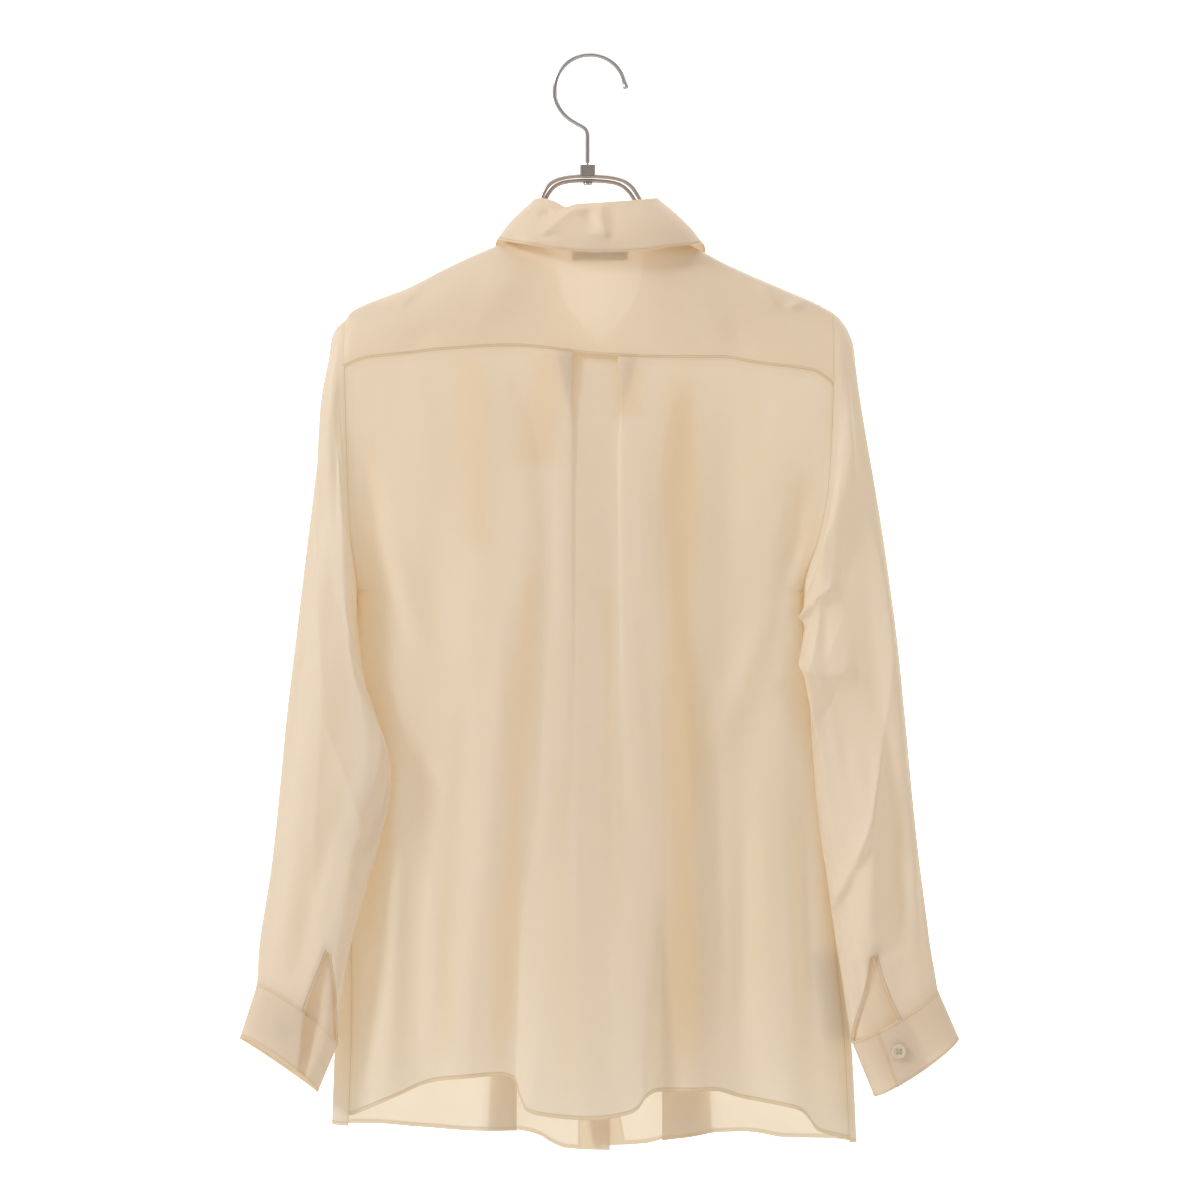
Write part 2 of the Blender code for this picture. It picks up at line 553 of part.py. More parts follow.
# ---------------------------------------------------------------- fronts
def front_points(side):
    """One front, from its band round to the side seam."""
    sign = -1 if side == "left" else 1
    band_columns, side_columns = 2, 8
    v = np.concatenate([0.32 * front_rows(), np.linspace(0.32, 1, LOWER_ROWS + 1)])[:, None]
    fold = FRONT_FOLD[side]
    near, far = curve(v, fold["v"], fold["near"]), curve(v, fold["v"], fold["far"])
    folded = ease((v - 0.12) / 0.25)
    flat = (near + far) / 2 + np.array([-12, -8, -4, 0, 4, 8, 12])
    turned = np.concatenate([far - FOLD_TURN, far, far - FOLD_TURN, (near + far) / 2,
                             near + FOLD_TURN, near, near + FOLD_TURN], axis=1)
    fold_x = sign * mix(flat, turned, folded)
    layers = ease(v / 0.14) * FOLD_LAYER * np.array([0, 0.32, 0.68, 1, 1.32, 1.68, 2])
    down = np.full((len(v), band_columns + 7 + side_columns), UNDERARM) + (v - 0.32) * 600
    for _ in range(4):
        seam = curve(down[:, :1], BAND[side]["down"], BAND[side]["seam"]) + sign * 1.5 * SEAM_GAP
        inner = mix(seam, fold_x[:, :1], np.arange(band_columns) / band_columns)
        start = angle_at(fold_x[:, -1:], down[:, -side_columns - 1:-side_columns])
        end = sign * (89.6 + seam_turn(side, down[:, -1:]))
        angle = mix(start, end, np.arange(1, side_columns + 1) / side_columns)
        x = np.concatenate([inner, fold_x, across(angle, down[:, -side_columns:])], axis=1)
        top = ridge(x[0]) + FRONT_YOKE + SEAM_GAP * (3 + 3 * ease((sign * x[0] - 165) / 25))
        hem = curve(x[-1], FRONT_HEM[side]["x"], FRONT_HEM[side]["down"])
        down = row_heights(top, hem, front_rows(), LOWER_ROWS)
    angle = np.concatenate([angle_at(x[:, :-side_columns], down[:, :-side_columns]), angle], axis=1)
    away = sign * x[:, -side_columns:] - far
    relaxed = layers[:, -1:] * (1 - ease(away / 50))
    inward = np.concatenate([np.zeros_like(inner), layers, relaxed], axis=1)
    y = depth(x, down, "front", angle) - inward
    if side == "right":
        y += lap(down) * (1 - ease((x - x[:, :1]) / 45))
    return place(x, y, down)


def band_points(side):
    """A front band, from its free edge to its seam."""
    sign = -1 if side == "left" else 1
    part = np.arange(4) / 3
    yoke_end = ridge(NECK_X + sign * NECK_HALF) + FRONT_YOKE + 3 * SEAM_GAP
    top, hem = mix(NECKLINE_FRONT, yoke_end, part), np.full(4, 870.0)
    for _ in range(3):
        down = row_heights(top, hem, front_rows(), LOWER_ROWS)
        edge = curve(down[:, :1], BAND[side]["down"], BAND[side]["edge"])
        seam = curve(down[:, -1:], BAND[side]["down"], BAND[side]["seam"]) - sign * 1.5 * SEAM_GAP
        x = mix(edge, seam, part)
        hem = curve(x[-1], FRONT_HEM[side]["x"], FRONT_HEM[side]["down"])
    y = depth(x, down, "front", angle_at(x, down))
    if side == "right":
        y = y + lap(down)
    return place(x, y, down)


# ---------------------------------------------------------------- sleeves and cuffs
def armhole(side, angle):
    """The armhole's edge: 0 at the shoulder, 90 at the back, 180 at the underarm."""
    top = SHOULDER["down"][0 if side == "left" else -1]
    down = mix(top, UNDERARM, (1 - np.cos(np.radians(angle))) / 2)
    x = edge_x(side, down)
    out = np.where(np.sin(np.radians(angle)) >= 0, -1.0, 1.0)
    full = curve(down, BODY["down"], BODY["back"]) * rounding(down - top) * openness(down)
    return place(x, out * full, down)


def ring(side, number, angle):
    """A sleeve's ring: 0 at the outer edge, 90 at the back, 180 at the inner edge."""
    rings = RINGS[side]
    order = np.arange(len(rings["outer"]))
    at = {name: curve(number, order, column) for name, column in rings.items()}
    outer = place(curve(at["outer"], SLEEVE_OUTER[side]["down"], SLEEVE_OUTER[side]["x"]),
                  at["y_outer"], at["outer"])
    inner = place(curve(at["inner"], SLEEVE_INNER[side]["down"], SLEEVE_INNER[side]["x"]),
                  at["y_inner"], at["inner"])
    turn = np.radians(angle)
    stand = np.where(np.sin(turn) > 0, -at["near"], -at["far"]) * np.sin(turn)
    middle, half = (outer + inner) / 2, (outer - inner) / 2
    return middle + half * np.cos(turn)[..., None] + place(0, stand, 0)


def sleeve_points(side):
    """A sleeve from its armhole to the cuff, and how many rows lie above its slit."""
    sign = -1 if side == "left" else 1
    last = len(RINGS[side]["outer"]) - 1
    number = np.concatenate([np.linspace(0, SLIT_APEX[side], 21),
                             np.linspace(SLIT_APEX[side], last, 5)[1:]])[:, None]
    past = (number - SLIT_APEX[side]) / (last - SLIT_APEX[side])
    slit = SLIT[side]
    under = curve(past, slit["part"], slit["under"])
    over = curve(past, slit["part"], slit["over"]) + 360
    angle = mix(under, over, np.arange(RING_COLUMNS + 1) / RING_COLUMNS)
    hung = ring(side, number, angle)
    sewn = armhole(side, angle)
    low = (1 - np.cos(np.radians(angle))) / 2
    sewn[..., 0] += sign * SEAM_GAP * mix(7.0, 5.0, low)
    leaving = sewn + hung - ring(side, np.zeros((1, 1)), angle)
    points = mix(leaving, hung, ease(number / HEAD_RINGS)[..., None])
    end = cuff_points(side, angle, np.zeros((1, 1))) - ring(side, np.full((1, 1), last), angle)
    points += end * ease(past)[..., None]
    points[-1, :, 2] -= 3 * SEAM_GAP
    return points, 21


def cuff_points(side, angle=None, part=None):
    """A cuff, from the end underneath round to the end on top, or chosen points of it."""
    cuff = CUFF[side]
    if part is None:
        part = np.linspace(0, 1, 4)[:, None]
        over = mix(cuff["over"][0], cuff["over"][1], part) + 360
        angle = mix(cuff["under"], over, np.arange(25) / 24)
    outer = mix(np.array(cuff["top"][0], float), np.array(cuff["bottom"][0], float), part[..., None])
    inner = mix(np.array(cuff["top"][1], float), np.array(cuff["bottom"][1], float), part[..., None])
    turn = np.radians(angle)
    under = cuff["lap"] * (1 - ease((angle - 128) / 40))
    near = CUFF_NEAR - under
    up = np.sin(turn)
    stand = np.where(up > 0, -near, -CUFF_FAR) * up
    lift = np.where(up > 0, -cuff["lift"], 0) * up
    middle, half = (outer + inner) / 2, (outer - inner) / 2
    return middle + half * np.cos(turn)[..., None] + place(0, stand, lift)


def cuff_button(side, material):
    """The button of one cuff, on the end that it is sewn to or shows on."""
    angle, part = CUFF_BUTTON[side]
    if side == "right":
        angle += 360
    spots = cuff_points(side, np.array([[angle, angle + 4], [angle, angle + 4]]),
                        np.array([[part, part], [part + 0.05, part + 0.05]]))
    facing = np.cross(spots[0, 1] - spots[0, 0], spots[1, 0] - spots[0, 0])
    facing = Vector(facing if facing[1] < 0 else -facing).normalized()
    centre = Vector(spots[0, 0]) + facing * (CUFF_CLOTH / 2 + SEAM_GAP)
    return button(f"cuff_button_{side}", centre, facing, material, sides=20)


# ---------------------------------------------------------------- collar
def collar_stations(count):
    """Stations from the left front end round the back to the right, and their side."""
    station = np.linspace(-8, 8, count)
    return abs(station), np.where(station < 0, -1.0, 1.0)


def neck_seam(station, side):
    """A point of the neck seam on the body's cloth."""
    order = np.arange(9)
    x = NECK_X + side * curve(station, order, NECK_SEAM["reach"])
    below = curve(station, order, NECK_SEAM["below"])
    down = ridge(x) + abs(below)
    y = -np.sign(below) * curve(down, BODY["down"], BODY["back"]) * rounding(abs(below))
    return place(x, y + np.where((side > 0) & (below < 0), lap(down), 0), down)


def roll(station, side):
    """A point of the collar's roll."""
    order = np.arange(9)
    left, right = (place(curve(station, order, ROLL[name]["reach"]) * side, curve(station, order, ROLL[name]["y"]),
                         curve(station, order, ROLL[name]["down"])) for name in ("left", "right"))
    return np.where(side[:, None] < 0, left, right) + place(NECK_X, 0, 0)


def unit(vectors):
    """Vectors of length 1."""
    return vectors / np.linalg.norm(vectors, axis=-1, keepdims=True)


def roll_frame(station, side):
    """The roll's points, and at each the ways down the stand and out from it."""
    crest = roll(station, side)
    along = unit(np.gradient(crest, axis=0, edge_order=2))
    into = neck_seam(station, side) - crest
    into = unit(into - along * (into * along).sum(axis=-1, keepdims=True))
    return crest, into, np.cross(along, into)


def stand_points():
    """The collar stand, from the neck seam to just below the roll."""
    station, side = collar_stations(33)
    crest, into, _ = roll_frame(station, side)
    top = crest + into * (ROLL_INSIDE + 3 * SEAM_GAP)
    foot = neck_seam(station, side)
    rise = np.linalg.norm(top - foot, axis=-1)
    foot = mix(foot, top, (mix(1.8, 3.2, ease(station - 4.5)) / rise)[:, None])
    return np.stack([mix(foot, top, t) for t in (0, 0.5, 1)])


def collar_points():
    """The collar, over the roll and down to its free edge."""
    station, side = collar_stations(33)
    order = np.arange(9)
    drop = COLLAR_RIGHT_DROP * np.where(side > 0, ease(station / 4), 0)
    width = np.where(side < 0, 0.97, 1.0)
    crest, into, clear = roll_frame(station, side)
    edge_at = place(NECK_X + side * width * curve(station, order, COLLAR_EDGE["reach"]),
                    curve(station, order, COLLAR_EDGE["y"]),
                    curve(station, order, COLLAR_EDGE["down"]) + drop)
    out = unit((edge_at - crest) * (1, 1, 0))
    clear *= np.sign((clear * out).sum(axis=-1, keepdims=True))
    outside = crest + clear * 2.8 + into * 1.2
    rows = [crest + into * ROLL_INSIDE, crest + clear * 1.4 - into * 0.8, outside]
    rows += [mix(outside, edge_at, t) + out * 3.0 * math.sin(math.pi * t) for t in (0.25, 0.5, 0.75, 1)]
    return np.stack(rows)


# ---------------------------------------------------------------- labels
def neck_label_points():
    """A blank label inside the back neck."""
    x = np.linspace(-14, 30, 6)
    down = np.linspace(149.5, 162, 3)[:, None]
    y = -curve(down, BODY["down"], BODY["back"]) * rounding(down - ridge(x)) + 2.6
    return place(x, y, down)


def care_label_points():
    """A blank label inside the right side seam."""
    down = np.linspace(716, 786, 5)[:, None]
    inset = np.linspace(1.8, 22.8, 4)
    return place(edge_x("right", down) - inset, -0.05 * inset, down)


# ---------------------------------------------------------------- hanger
def hook_path():
    """The hook from its tip over the top and down to the block."""
    turns = np.radians(np.linspace(HOOK_TIP, HOOK_END, 24))
    centre_down = HOOK_RADIUS - HOOK_WIRE / 2
    path = [(HOOK_RADIUS * math.cos(a), 0, centre_down - HOOK_RADIUS * math.sin(a)) for a in turns]
    path += [(-10.8, 0, 53.2), (-6.4, 0, 55.6), (-3.2, 0, 58.4), (-2.0, 0, 62), (-2.0, 0, 74), (-2.0, 0, 84.6)]
    radii = [HOOK_WIRE / 2] * len(path)
    tip = np.array(path[0])
    lead = (tip - np.array(path[1])) / np.linalg.norm(tip - np.array(path[1]))
    ball = [(tip + lead * reach, size) for reach, size in ((3.6, 0.9), (3.0, 2.0), (1.6, 2.7), (0.4, 2.3))]
    path = [tuple(p) for p, _ in ball] + path[1:] + [(-2.0, 0, 84.9), (-2.0, 0, 87.7)]
    radii = [size for _, size in ball] + radii[1:] + [0.85, 0.85]
    return path, radii


def arm_points(side, wire):
    """One wire of the frame, from the middle of its arch to the tip of an arm."""
    face = -1 if wire == "outer" else 1
    arch = ARCH[side, wire]
    points = [(x, face * y, down) for x, y, down in zip(arch["x"], arch["y"], arch["down"])]
    for x, sag in zip(ARM[side]["x"], ARM[side]["sag"]):
        points.append((x, face * FRAME_SPREAD, float(ridge(x)) + FRAME_BELOW + sag))
    return points


def frame_path():
    """The wire frame as one loop: out along one wire, round each tip and back on the other."""
    def tip(side):
        x, sag = ARM[side]["x"][-1], ARM[side]["sag"][-1]
        sign = -1 if side == "left" else 1
        down = float(ridge(x)) + FRAME_BELOW + sag
        return [(x + sign * FRAME_SPREAD * math.sin(a), -FRAME_SPREAD * math.cos(a),
                 down + 2.2 * math.sin(a)) for a in np.radians((45, 90, 135))]

    right_out, right_back = arm_points("right", "outer"), arm_points("right", "inner")[::-1]
    left_out, left_back = arm_points("left", "inner"), arm_points("left", "outer")[::-1]
    return right_out + tip("right") + right_back + left_out + tip("left")[::-1] + left_back


# ---------------------------------------------------------------- build
def build_cloth(silk, shade, label):
    """Every sewn piece."""
    yoke, keep = yoke_points()
    wall("back_yoke", yoke, DOUBLE_CLOTH, shade, keep=keep)
    wall("back_panel", back_points(), CLOTH, silk)
    for side in ("left", "right"):
        wall(f"front_{side}", front_points(side), CLOTH, silk)
        wall(f"front_band_{side}", band_points(side), DOUBLE_CLOTH, shade)
        points, rows = sleeve_points(side)
        wall(f"sleeve_{side}", points, CLOTH, silk, closed_rows=rows)
        wall(f"cuff_{side}", cuff_points(side), CUFF_CLOTH, shade)
    wall("collar_stand", stand_points(), DOUBLE_CLOTH, shade)
    wall("collar", collar_points(), COLLAR_CLOTH, shade)
    wall("neck_label", neck_label_points(), LABEL_CLOTH, label)
    wall("care_label", care_label_points(), LABEL_CLOTH, label)


def build_buttons(pearl):
    """The cuff buttons and the front buttons."""
    for side in ("left", "right"):
        cuff_button(side, pearl)
    for number, down in enumerate(FRONT_BUTTON_DOWN, 1):
        x = np.array([FRONT_BUTTON_X])
        height = np.array([down])
        y = depth(x, height, "front", angle_at(x, height))[0] + BAND_LAP + DOUBLE_CLOTH / 2 + SEAM_GAP
        button(f"front_button_{number}", (FRONT_BUTTON_X, y, down), (0, 1, 0), pearl)


def build_hanger(steel):
    """The hook, the block that it turns in, the rivet below and the wire frame."""
    path, radii = hook_path()
    tube("hanger_hook", path, radii, steel, sides=8)
    box("hanger_block", (-6.4, -4.4, 88.0), (2.6, 4.4, 93.6), steel)
    box("hanger_rivet", (-4.4, -2.6, 100.8), (0.6, 2.6, 102.4), steel)
    tube("hanger_frame", frame_path(), FRAME_WIRE / 2, steel, sides=8, loop=True)


def main():
    clear_scene()
    silk = look("silk", (0.79, 0.67, 0.50), 0.42)
    shade = look("silk_double", (0.74, 0.60, 0.43), 0.45)
    label = look("label_satin", (0.78, 0.74, 0.66), 0.5)
    pearl = look("button_pearl", (0.78, 0.74, 0.64), 0.28)
    steel = look("bright_steel", (0.60, 0.58, 0.57), 0.22, metallic=1.0)
    build_cloth(silk, shade, label)
    build_buttons(pearl)
    build_hanger(steel)


main()
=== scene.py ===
import math

import bmesh
import bpy
import numpy as np
from mathutils import Matrix, Vector


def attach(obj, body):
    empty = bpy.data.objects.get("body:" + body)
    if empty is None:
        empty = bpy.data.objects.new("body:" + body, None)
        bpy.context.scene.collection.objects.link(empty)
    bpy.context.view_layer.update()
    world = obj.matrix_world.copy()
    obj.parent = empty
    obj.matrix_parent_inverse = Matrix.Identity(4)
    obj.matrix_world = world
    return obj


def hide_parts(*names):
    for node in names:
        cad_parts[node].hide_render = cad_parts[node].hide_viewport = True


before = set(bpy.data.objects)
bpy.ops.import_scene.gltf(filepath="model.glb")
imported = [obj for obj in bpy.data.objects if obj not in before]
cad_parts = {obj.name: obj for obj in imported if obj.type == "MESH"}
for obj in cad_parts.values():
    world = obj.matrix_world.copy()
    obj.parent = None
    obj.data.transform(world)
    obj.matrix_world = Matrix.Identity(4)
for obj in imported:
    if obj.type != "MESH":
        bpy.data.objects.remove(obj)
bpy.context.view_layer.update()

MM = 0.001
HEM = 3.4                 # finished width of the narrow hems
ALLOWANCE = 7.0           # seam allowance pressed to one side
THREAD = 0.17             # radius of the sewing thread
THREAD_LIES = THREAD + 0.06      # its middle above the cloth
STITCH = 2.5              # from one stitch to the next
STITCH_SHOWS = 0.74       # share of that length that is thread
FACING_UNDER = 2.2        # a slit's facing below the sleeve's cloth
FACING_LAP = 9.0          # degrees that it reaches round under each edge of the slit
CUFF_STAND = 1.3          # a cuff button's back above the middle of its cloth
BAND_STAND = 1.2          # and a front button's

UNDERARM = 426.0          # down, where the side seams begin
ARMHOLE_CLOSE = 300.0     # down, where the armhole starts to narrow
ARMHOLE_POWER = 2.2       # how late it closes
SECTION_ROUND = 270.0     # down, where the section starts to round off, and over how much
SIDE_EDGE = 40            # how closely the armhole's depth keeps to the side
RIDGE_ROUND = 50.0        # height over which the shoulder rounds from its ridge
NECK_X = 7.0              # middle of the neck
NECK_HALF = 60.0          # half the neck's width
NECK_DROP = 39.0          # back neck seam below the shoulder ridge carried to the middle
FRONT_YOKE = 18.0         # how far the yoke comes over the shoulder to the front
BAND_LAP = 3.4            # the right front band lies this far outside the left one
BUTTON_ACROSS = 11.5
BUTTON_THICK = 2.2
FRONT_BUTTON_DOWN = (252.0, 338.0, 424.0, 510.0, 596.0, 682.0, 768.0)
FRONT_BUTTON_X = 3.5


def table(columns, *rows):
    """A table as one array for each named column."""
    return {name: np.array(values, float) for name, values in zip(columns.split(), zip(*rows))}


# The top of the shoulders, carried over the open neck as a guide for the yoke's form.
SHOULDER = table("x down",
                 (-196, 211), (-191, 204), (-179, 197.6), (-162, 191), (-144, 184),
                 (-121, 172), (-95, 159.5), (-81, 153.5), (-53, 142), (-43, 136),
                 (-23, 126), (7, 109), (37, 126.5), (57, 137.5), (67, 144),
                 (88, 154.5), (109, 165.6), (138, 178.6), (167, 191), (182, 197.6), (193.6, 204))

# The sides of the body, and how far its back and front stand out from the middle.
BODY = table("down left right back front",
             (140, -196, 193.6, 27, 27), (211, -196, 193.6, 23, 23), (260, -195, 193.6, 26, 26),
             (340, -192.8, 190, 29, 29), (385, -190.5, 182, 30, 30), (426, -186, 170.4, 30, 30),
             (498, -189, 178, 31, 31), (560, -190, 185, 32, 32), (608, -191.5, 189.5, 32, 32),
             (713, -200, 200, 33, 33), (785, -204, 209, 34, 34), (880, -207.5, 214, 34, 35))

# How far each side seam lies round to the back, as an angle of the section.
SEAM_TURN = {"left": 21.0, "right": 14.0}

YOKE_SEAM = table("x down",
                  (-196, 248.6), (-176, 241.6), (-155, 239.6), (-116, 235), (-60, 232.2),
                  (-36, 234), (7, 239), (60, 241.4), (105, 241.6), (135, 246.4),
                  (178, 252), (193.6, 262.5))

BACK_HEM = table("x down",
                 (-190, 845.5), (-154, 829.5), (-123, 817.5), (-93, 813.8), (-70, 812.5),
                 (-60, 816), (-55.5, 829), (-50, 839), (-30, 843.5), (2, 845.5), (30, 841.5),
                 (38, 837.5), (45, 828), (54, 825), (98, 824.5), (121, 831), (167, 840.5),
                 (174, 847), (181, 857), (207, 865))

FRONT_HEM = {
    "left": table("x down",
                  (-207, 853.5), (-170, 855), (-139, 858), (-93, 861), (-63, 860.6), (-42, 865),
                  (-32, 871), (-21, 876), (-1, 877.5), (16, 878)),
    "right": table("x down",
                   (3, 875), (30, 873.8), (46, 872.4), (59, 868.7), (84, 864.8), (103, 862),
                   (123, 861.8), (138, 863.5), (156, 866.5), (190, 866.5), (213, 868)),
}

# Upright folds of the back: where each starts and ends, its width, and how far it swells
# outwards (positive) at the yoke and at the hem.
BACK_FOLDS = table("x_top x_hem width swell_top swell_hem",
                   (-152, -166, 15, 0, 4), (-118, -134, 17, 0, -5), (-86, -100, 15, 1, 5),
                   (86, 82, 15, 0.5, 5), (112, 124, 18, 0, -6), (146, 160, 16, 0.5, 5))

# One half of the inverted pleat, from the panel to the middle of the underlay. Each station's
# reach from the pleat's middle and its depth inwards, at six heights from yoke to hem.
PLEAT_HEIGHTS = (0.0, 0.13, 0.3, 0.55, 0.8, 1.0)
PLEAT_MIDDLE = (5.0, 5.0, 5.5, 6.0, 1.0, -3.0)
PLEAT = table("reach_0 reach_1 reach_2 reach_3 reach_4 reach_5 in_0 in_1 in_2 in_3 in_4 in_5",
              (19, 34, 38, 46, 61, 63, 0, 0, 0, 0, 0, 0),
              (17, 24, 27, 36, 57, 57.5, 1.8, -0.6, -0.8, -1.2, -0.8, -1),
              (19, 19.5, 21, 29, 54, 54.5, 3.6, 0, -0.4, -1.2, -2.6, -4),
              (26, 18, 18.5, 23, 51, 52.5, 3.6, 1.6, 0.5, -0.6, -4.6, -8),
              (32, 16.6, 17, 19.5, 47, 50.5, 3.6, 2.4, 1.1, -0.2, -6.2, -12),
              (33, 15, 15, 16, 41, 48, 5.0, 2.6, 1.3, -0.1, -7.8, -16),
              (31, 12, 12, 12, 31, 44, 6.4, 2.7, 1.4, 0.0, -9.2, -19),
              (18, 6, 6, 6, 17, 24, 6.4, 2.8, 1.4, 0.0, -10, -21),
              (0, 0, 0, 0, 0, 0, 6.4, 2.8, 1.4, 0.0, -10, -22))

# The free edge and the sewn edge of each front band.
BAND = {
    "left": table("down edge seam",
                  (161, -22, -53), (180, -22, -46.5), (192, -22.5, -41), (205, -14, -33.5),
                  (222, 2, -24), (240, 12, -15.5), (260, 16, -10.5), (285, 16, -10), (880, 16, -10)),
    "right": table("down edge seam",
                   (161, 36, 67), (180, 36, 60.5), (192, 36.5, 55), (205, 28, 48),
                   (222, 13, 38.5), (240, 1, 29), (260, -7, 19.5), (285, -10, 16),
                   (780, -10, 16), (880, 3.5, 29.6)),
}
NECKLINE_FRONT = 192.0    # down, at a band's free edge

# The soft fold in each front, from its near to its far edge, measured away from x = 0.
FRONT_FOLD = {
    "left": table("v near far", (0, 80, 92), (0.08, 64, 78), (0.16, 44, 60), (0.25, 37, 51),
                  (0.55, 40, 62), (0.8, 58, 76), (1, 59, 82)),
    "right": table("v near far", (0, 93, 105), (0.08, 78, 92), (0.16, 60, 80), (0.25, 54, 75),
                   (0.5, 57, 83), (1, 58, 98)),
}
FOLD_LAYER = 5.0          # between the layers of a front fold
FOLD_LEAN = {"left": 7.0, "right": 10.0}      # how far each fold leans towards the back
LEAN_WIDTH = 19.0         # how wide it does
FOLD_TURN = 2.4           # radius of its turns

# Sleeves: outer and inner edge against height, then the rings from armhole to cuff. A ring
# runs from a point on the outer edge to one on the inner edge and stands out near and far.
SLEEVE_OUTER = {
    "left": table("down x",
                  (211, -196.5), (216, -203), (226, -207.5), (249, -210.2), (282, -212),
                  (314, -214.4), (346, -218.2), (410, -227), (474, -235.2), (538, -243),
                  (602, -249), (666, -256), (714, -262.5), (742, -265.6)),
    "right": table("down x",
                   (204, 194), (209, 200), (217, 206), (230, 211.4), (249, 213.8), (282, 217.6),
                   (346, 227.2), (410, 236.8), (474, 245.4), (538, 252.6), (602, 258.6),
                   (666, 266.2), (714, 272.2), (745, 277.4)),
}
SLEEVE_INNER = {
    "left": table("down x",
                  (426, -187.5), (446, -186), (470, -184), (500, -179), (528, -170.5),
                  (553, -161), (572, -158), (590, -159), (618, -165), (674, -181),
                  (722, -193), (770, -199), (788, -200.5)),
    "right": table("down x",
                   (426, 167), (446, 168), (498, 172), (560, 178), (608, 183.5),
                   (660, 190), (713, 197.5), (761, 204.5), (785, 208)),
}
RINGS = {
    "left": table("outer inner y_outer y_inner near far",
                  (211, 426, 0, 0, 24, 24), (220, 430, -1, -2, 25, 22), (236, 437, -2, -5, 25, 20),
                  (262, 448, -4, -9, 24, 18), (300, 468, -7, -15, 22, 15), (345, 492, -9, -21, 20, 12),
                  (392, 520, -11, -26, 18, 11), (440, 552, -12, -30, 16, 11), (490, 586, -13, -32, 15, 11),
                  (540, 622, -14, -32, 15, 11), (590, 658, -15, -32, 15, 12), (640, 696, -16, -32, 16, 12),
                  (680, 732, -17, -31, 17, 13), (714, 762, -18, -30, 18, 14), (742, 788, -19, -29, 18, 14)),
    "right": table("outer inner y_outer y_inner near far",
                   (204, 426, 0, 0, 24, 24), (214, 431, 0, -1, 25, 22), (230, 439, 0, -2, 25, 20),
                   (258, 452, -1, -3, 24, 19), (296, 474, -2, -4, 22, 18), (342, 500, -3, -6, 20, 17),
                   (390, 530, -4, -7, 19, 16), (440, 562, -5, -8, 18, 16), (490, 596, -6, -9, 17, 15),
                   (540, 630, -7, -10, 17, 15), (590, 664, -8, -12, 17, 14), (640, 698, -10, -14, 17, 14),
                   (685, 732, -11, -15, 18, 14), (718, 762, -12, -16, 18, 14), (745, 785, -13, -17, 18, 14)),
}
HEAD_RINGS = 7.0          # rings over which the sleeve head leaves the armhole's form
SLIT_APEX = {"left": 11.8, "right": 12.05}      # ring number
# The two edges of each slit, as angles round the ring, between its apex and the cuff.
SLIT = {
    "left": table("part over under", (0, 124, 124), (0.45, 113, 146), (1, 103, 166)),
    "right": table("part over under", (0, 105, 105), (0.3, 101, 118), (0.6, 95, 138), (1, 86, 164)),
}

# Cuffs: the outer and inner point of the top and bottom ring, and where each end lies.
CUFF = {
    "left": dict(top=((-265.6, -19, 742), (-200.5, -29, 788)),
                 bottom=((-279, -21, 784), (-216.5, -30, 826)),
                 lift=9.0, lap=7.0, over=(103.0, 124.0), under=46.0),
    "right": dict(top=((277.4, -13, 745), (208, -17, 785)),
                  bottom=((294.5, -13, 784), (226, -18, 829)),
                  lift=-5.0, lap=3.0, over=(116.0, 119.0), under=76.0),
}
CUFF_NEAR = 18.0
CUFF_FAR = 14.0
CUFF_TURN = (114.0, 30.0)      # angle where the upper end's lap starts to fade, and over how much
CUFF_BUTTON = {"left": (86.0, 0.5), "right": (99.0, 0.47)}     # angle and part of the height

# Neck seam, from the middle of the back to the front end: reach from the neck's middle and
# height below the ridge, negative once it has passed to the front.
NECK_SEAM = table("reach below",
                  (0, 39), (22, 25.8), (42, 13.2), (55, 4.15), (60, 0), (60, -6), (60, -18),
                  (46, -40.8), (30, -65.5))
# The collar's roll and its free edge at the same stations.
ROLL = {
    "left": table("reach y down",
                  (0, -22, 119), (16, -21.5, 119.6), (33, -18, 117.4), (45.5, -10, 114.6),
                  (50.5, -1, 115.6), (51, 8, 119.5), (48, 17, 129), (42, 25, 143), (35, 31, 163)),
    "right": table("reach y down",
                   (0, -22, 119), (16, -21.5, 117.6), (31, -17.5, 116.4), (41, -10, 115),
                   (45.5, -1, 114.2), (46, 8, 118), (44, 17, 128), (40, 25, 143), (35, 31, 163)),
}
ROLL_DIP = (-19.5, 6.0, 3.6)      # where the roll sags, how wide and how far
ROLL_INSIDE = 1.6         # how far the collar goes down inside its roll
COLLAR_EDGE = table("reach y down",
                    (0, -39, 158.8), (29, -38, 157.2), (55, -33, 152.8), (75, -22, 149),
                    (83, -6, 146.6), (85.5, 10, 151), (82, 29, 166), (74, 38, 188), (60, 40.5, 216))
COLLAR_RIGHT_DROP = 3.0

HOOK_RADIUS = 28.4
HOOK_WIRE = 3.6
HOOK_TIP = 9.0            # degrees above level
HOOK_END = 235.0
HOOK_SHANK = [(-10.8, 0, 53.2), (-6.4, 0, 55.6), (-3.2, 0, 58.4), (-2.0, 0, 62), (-2.0, 0, 74),
              (-2.0, 0, 84.6)]
HOOK_BALL = ((3.6, 0.9), (3.0, 2.0), (1.6, 2.7), (0.4, 2.3))      # reach past the tip, radius
BLOCK = ((-6.4, -4.4, 88.0), (2.6, 4.4, 93.6))
BLOCK_ROUND = 1.6
RIVET_AT = (-1.9, 0.0)
RIVET_PROFILE = ((2.6, 100.5), (3.6, 100.8), (3.7, 101.9), (2.9, 102.6))      # reach, down
FRAME_WIRE = 3.4
FRAME_SPREAD = 6.0        # each wire of the arms from the middle plane
FRAME_BELOW = 8.0         # wire below the shoulder ridge

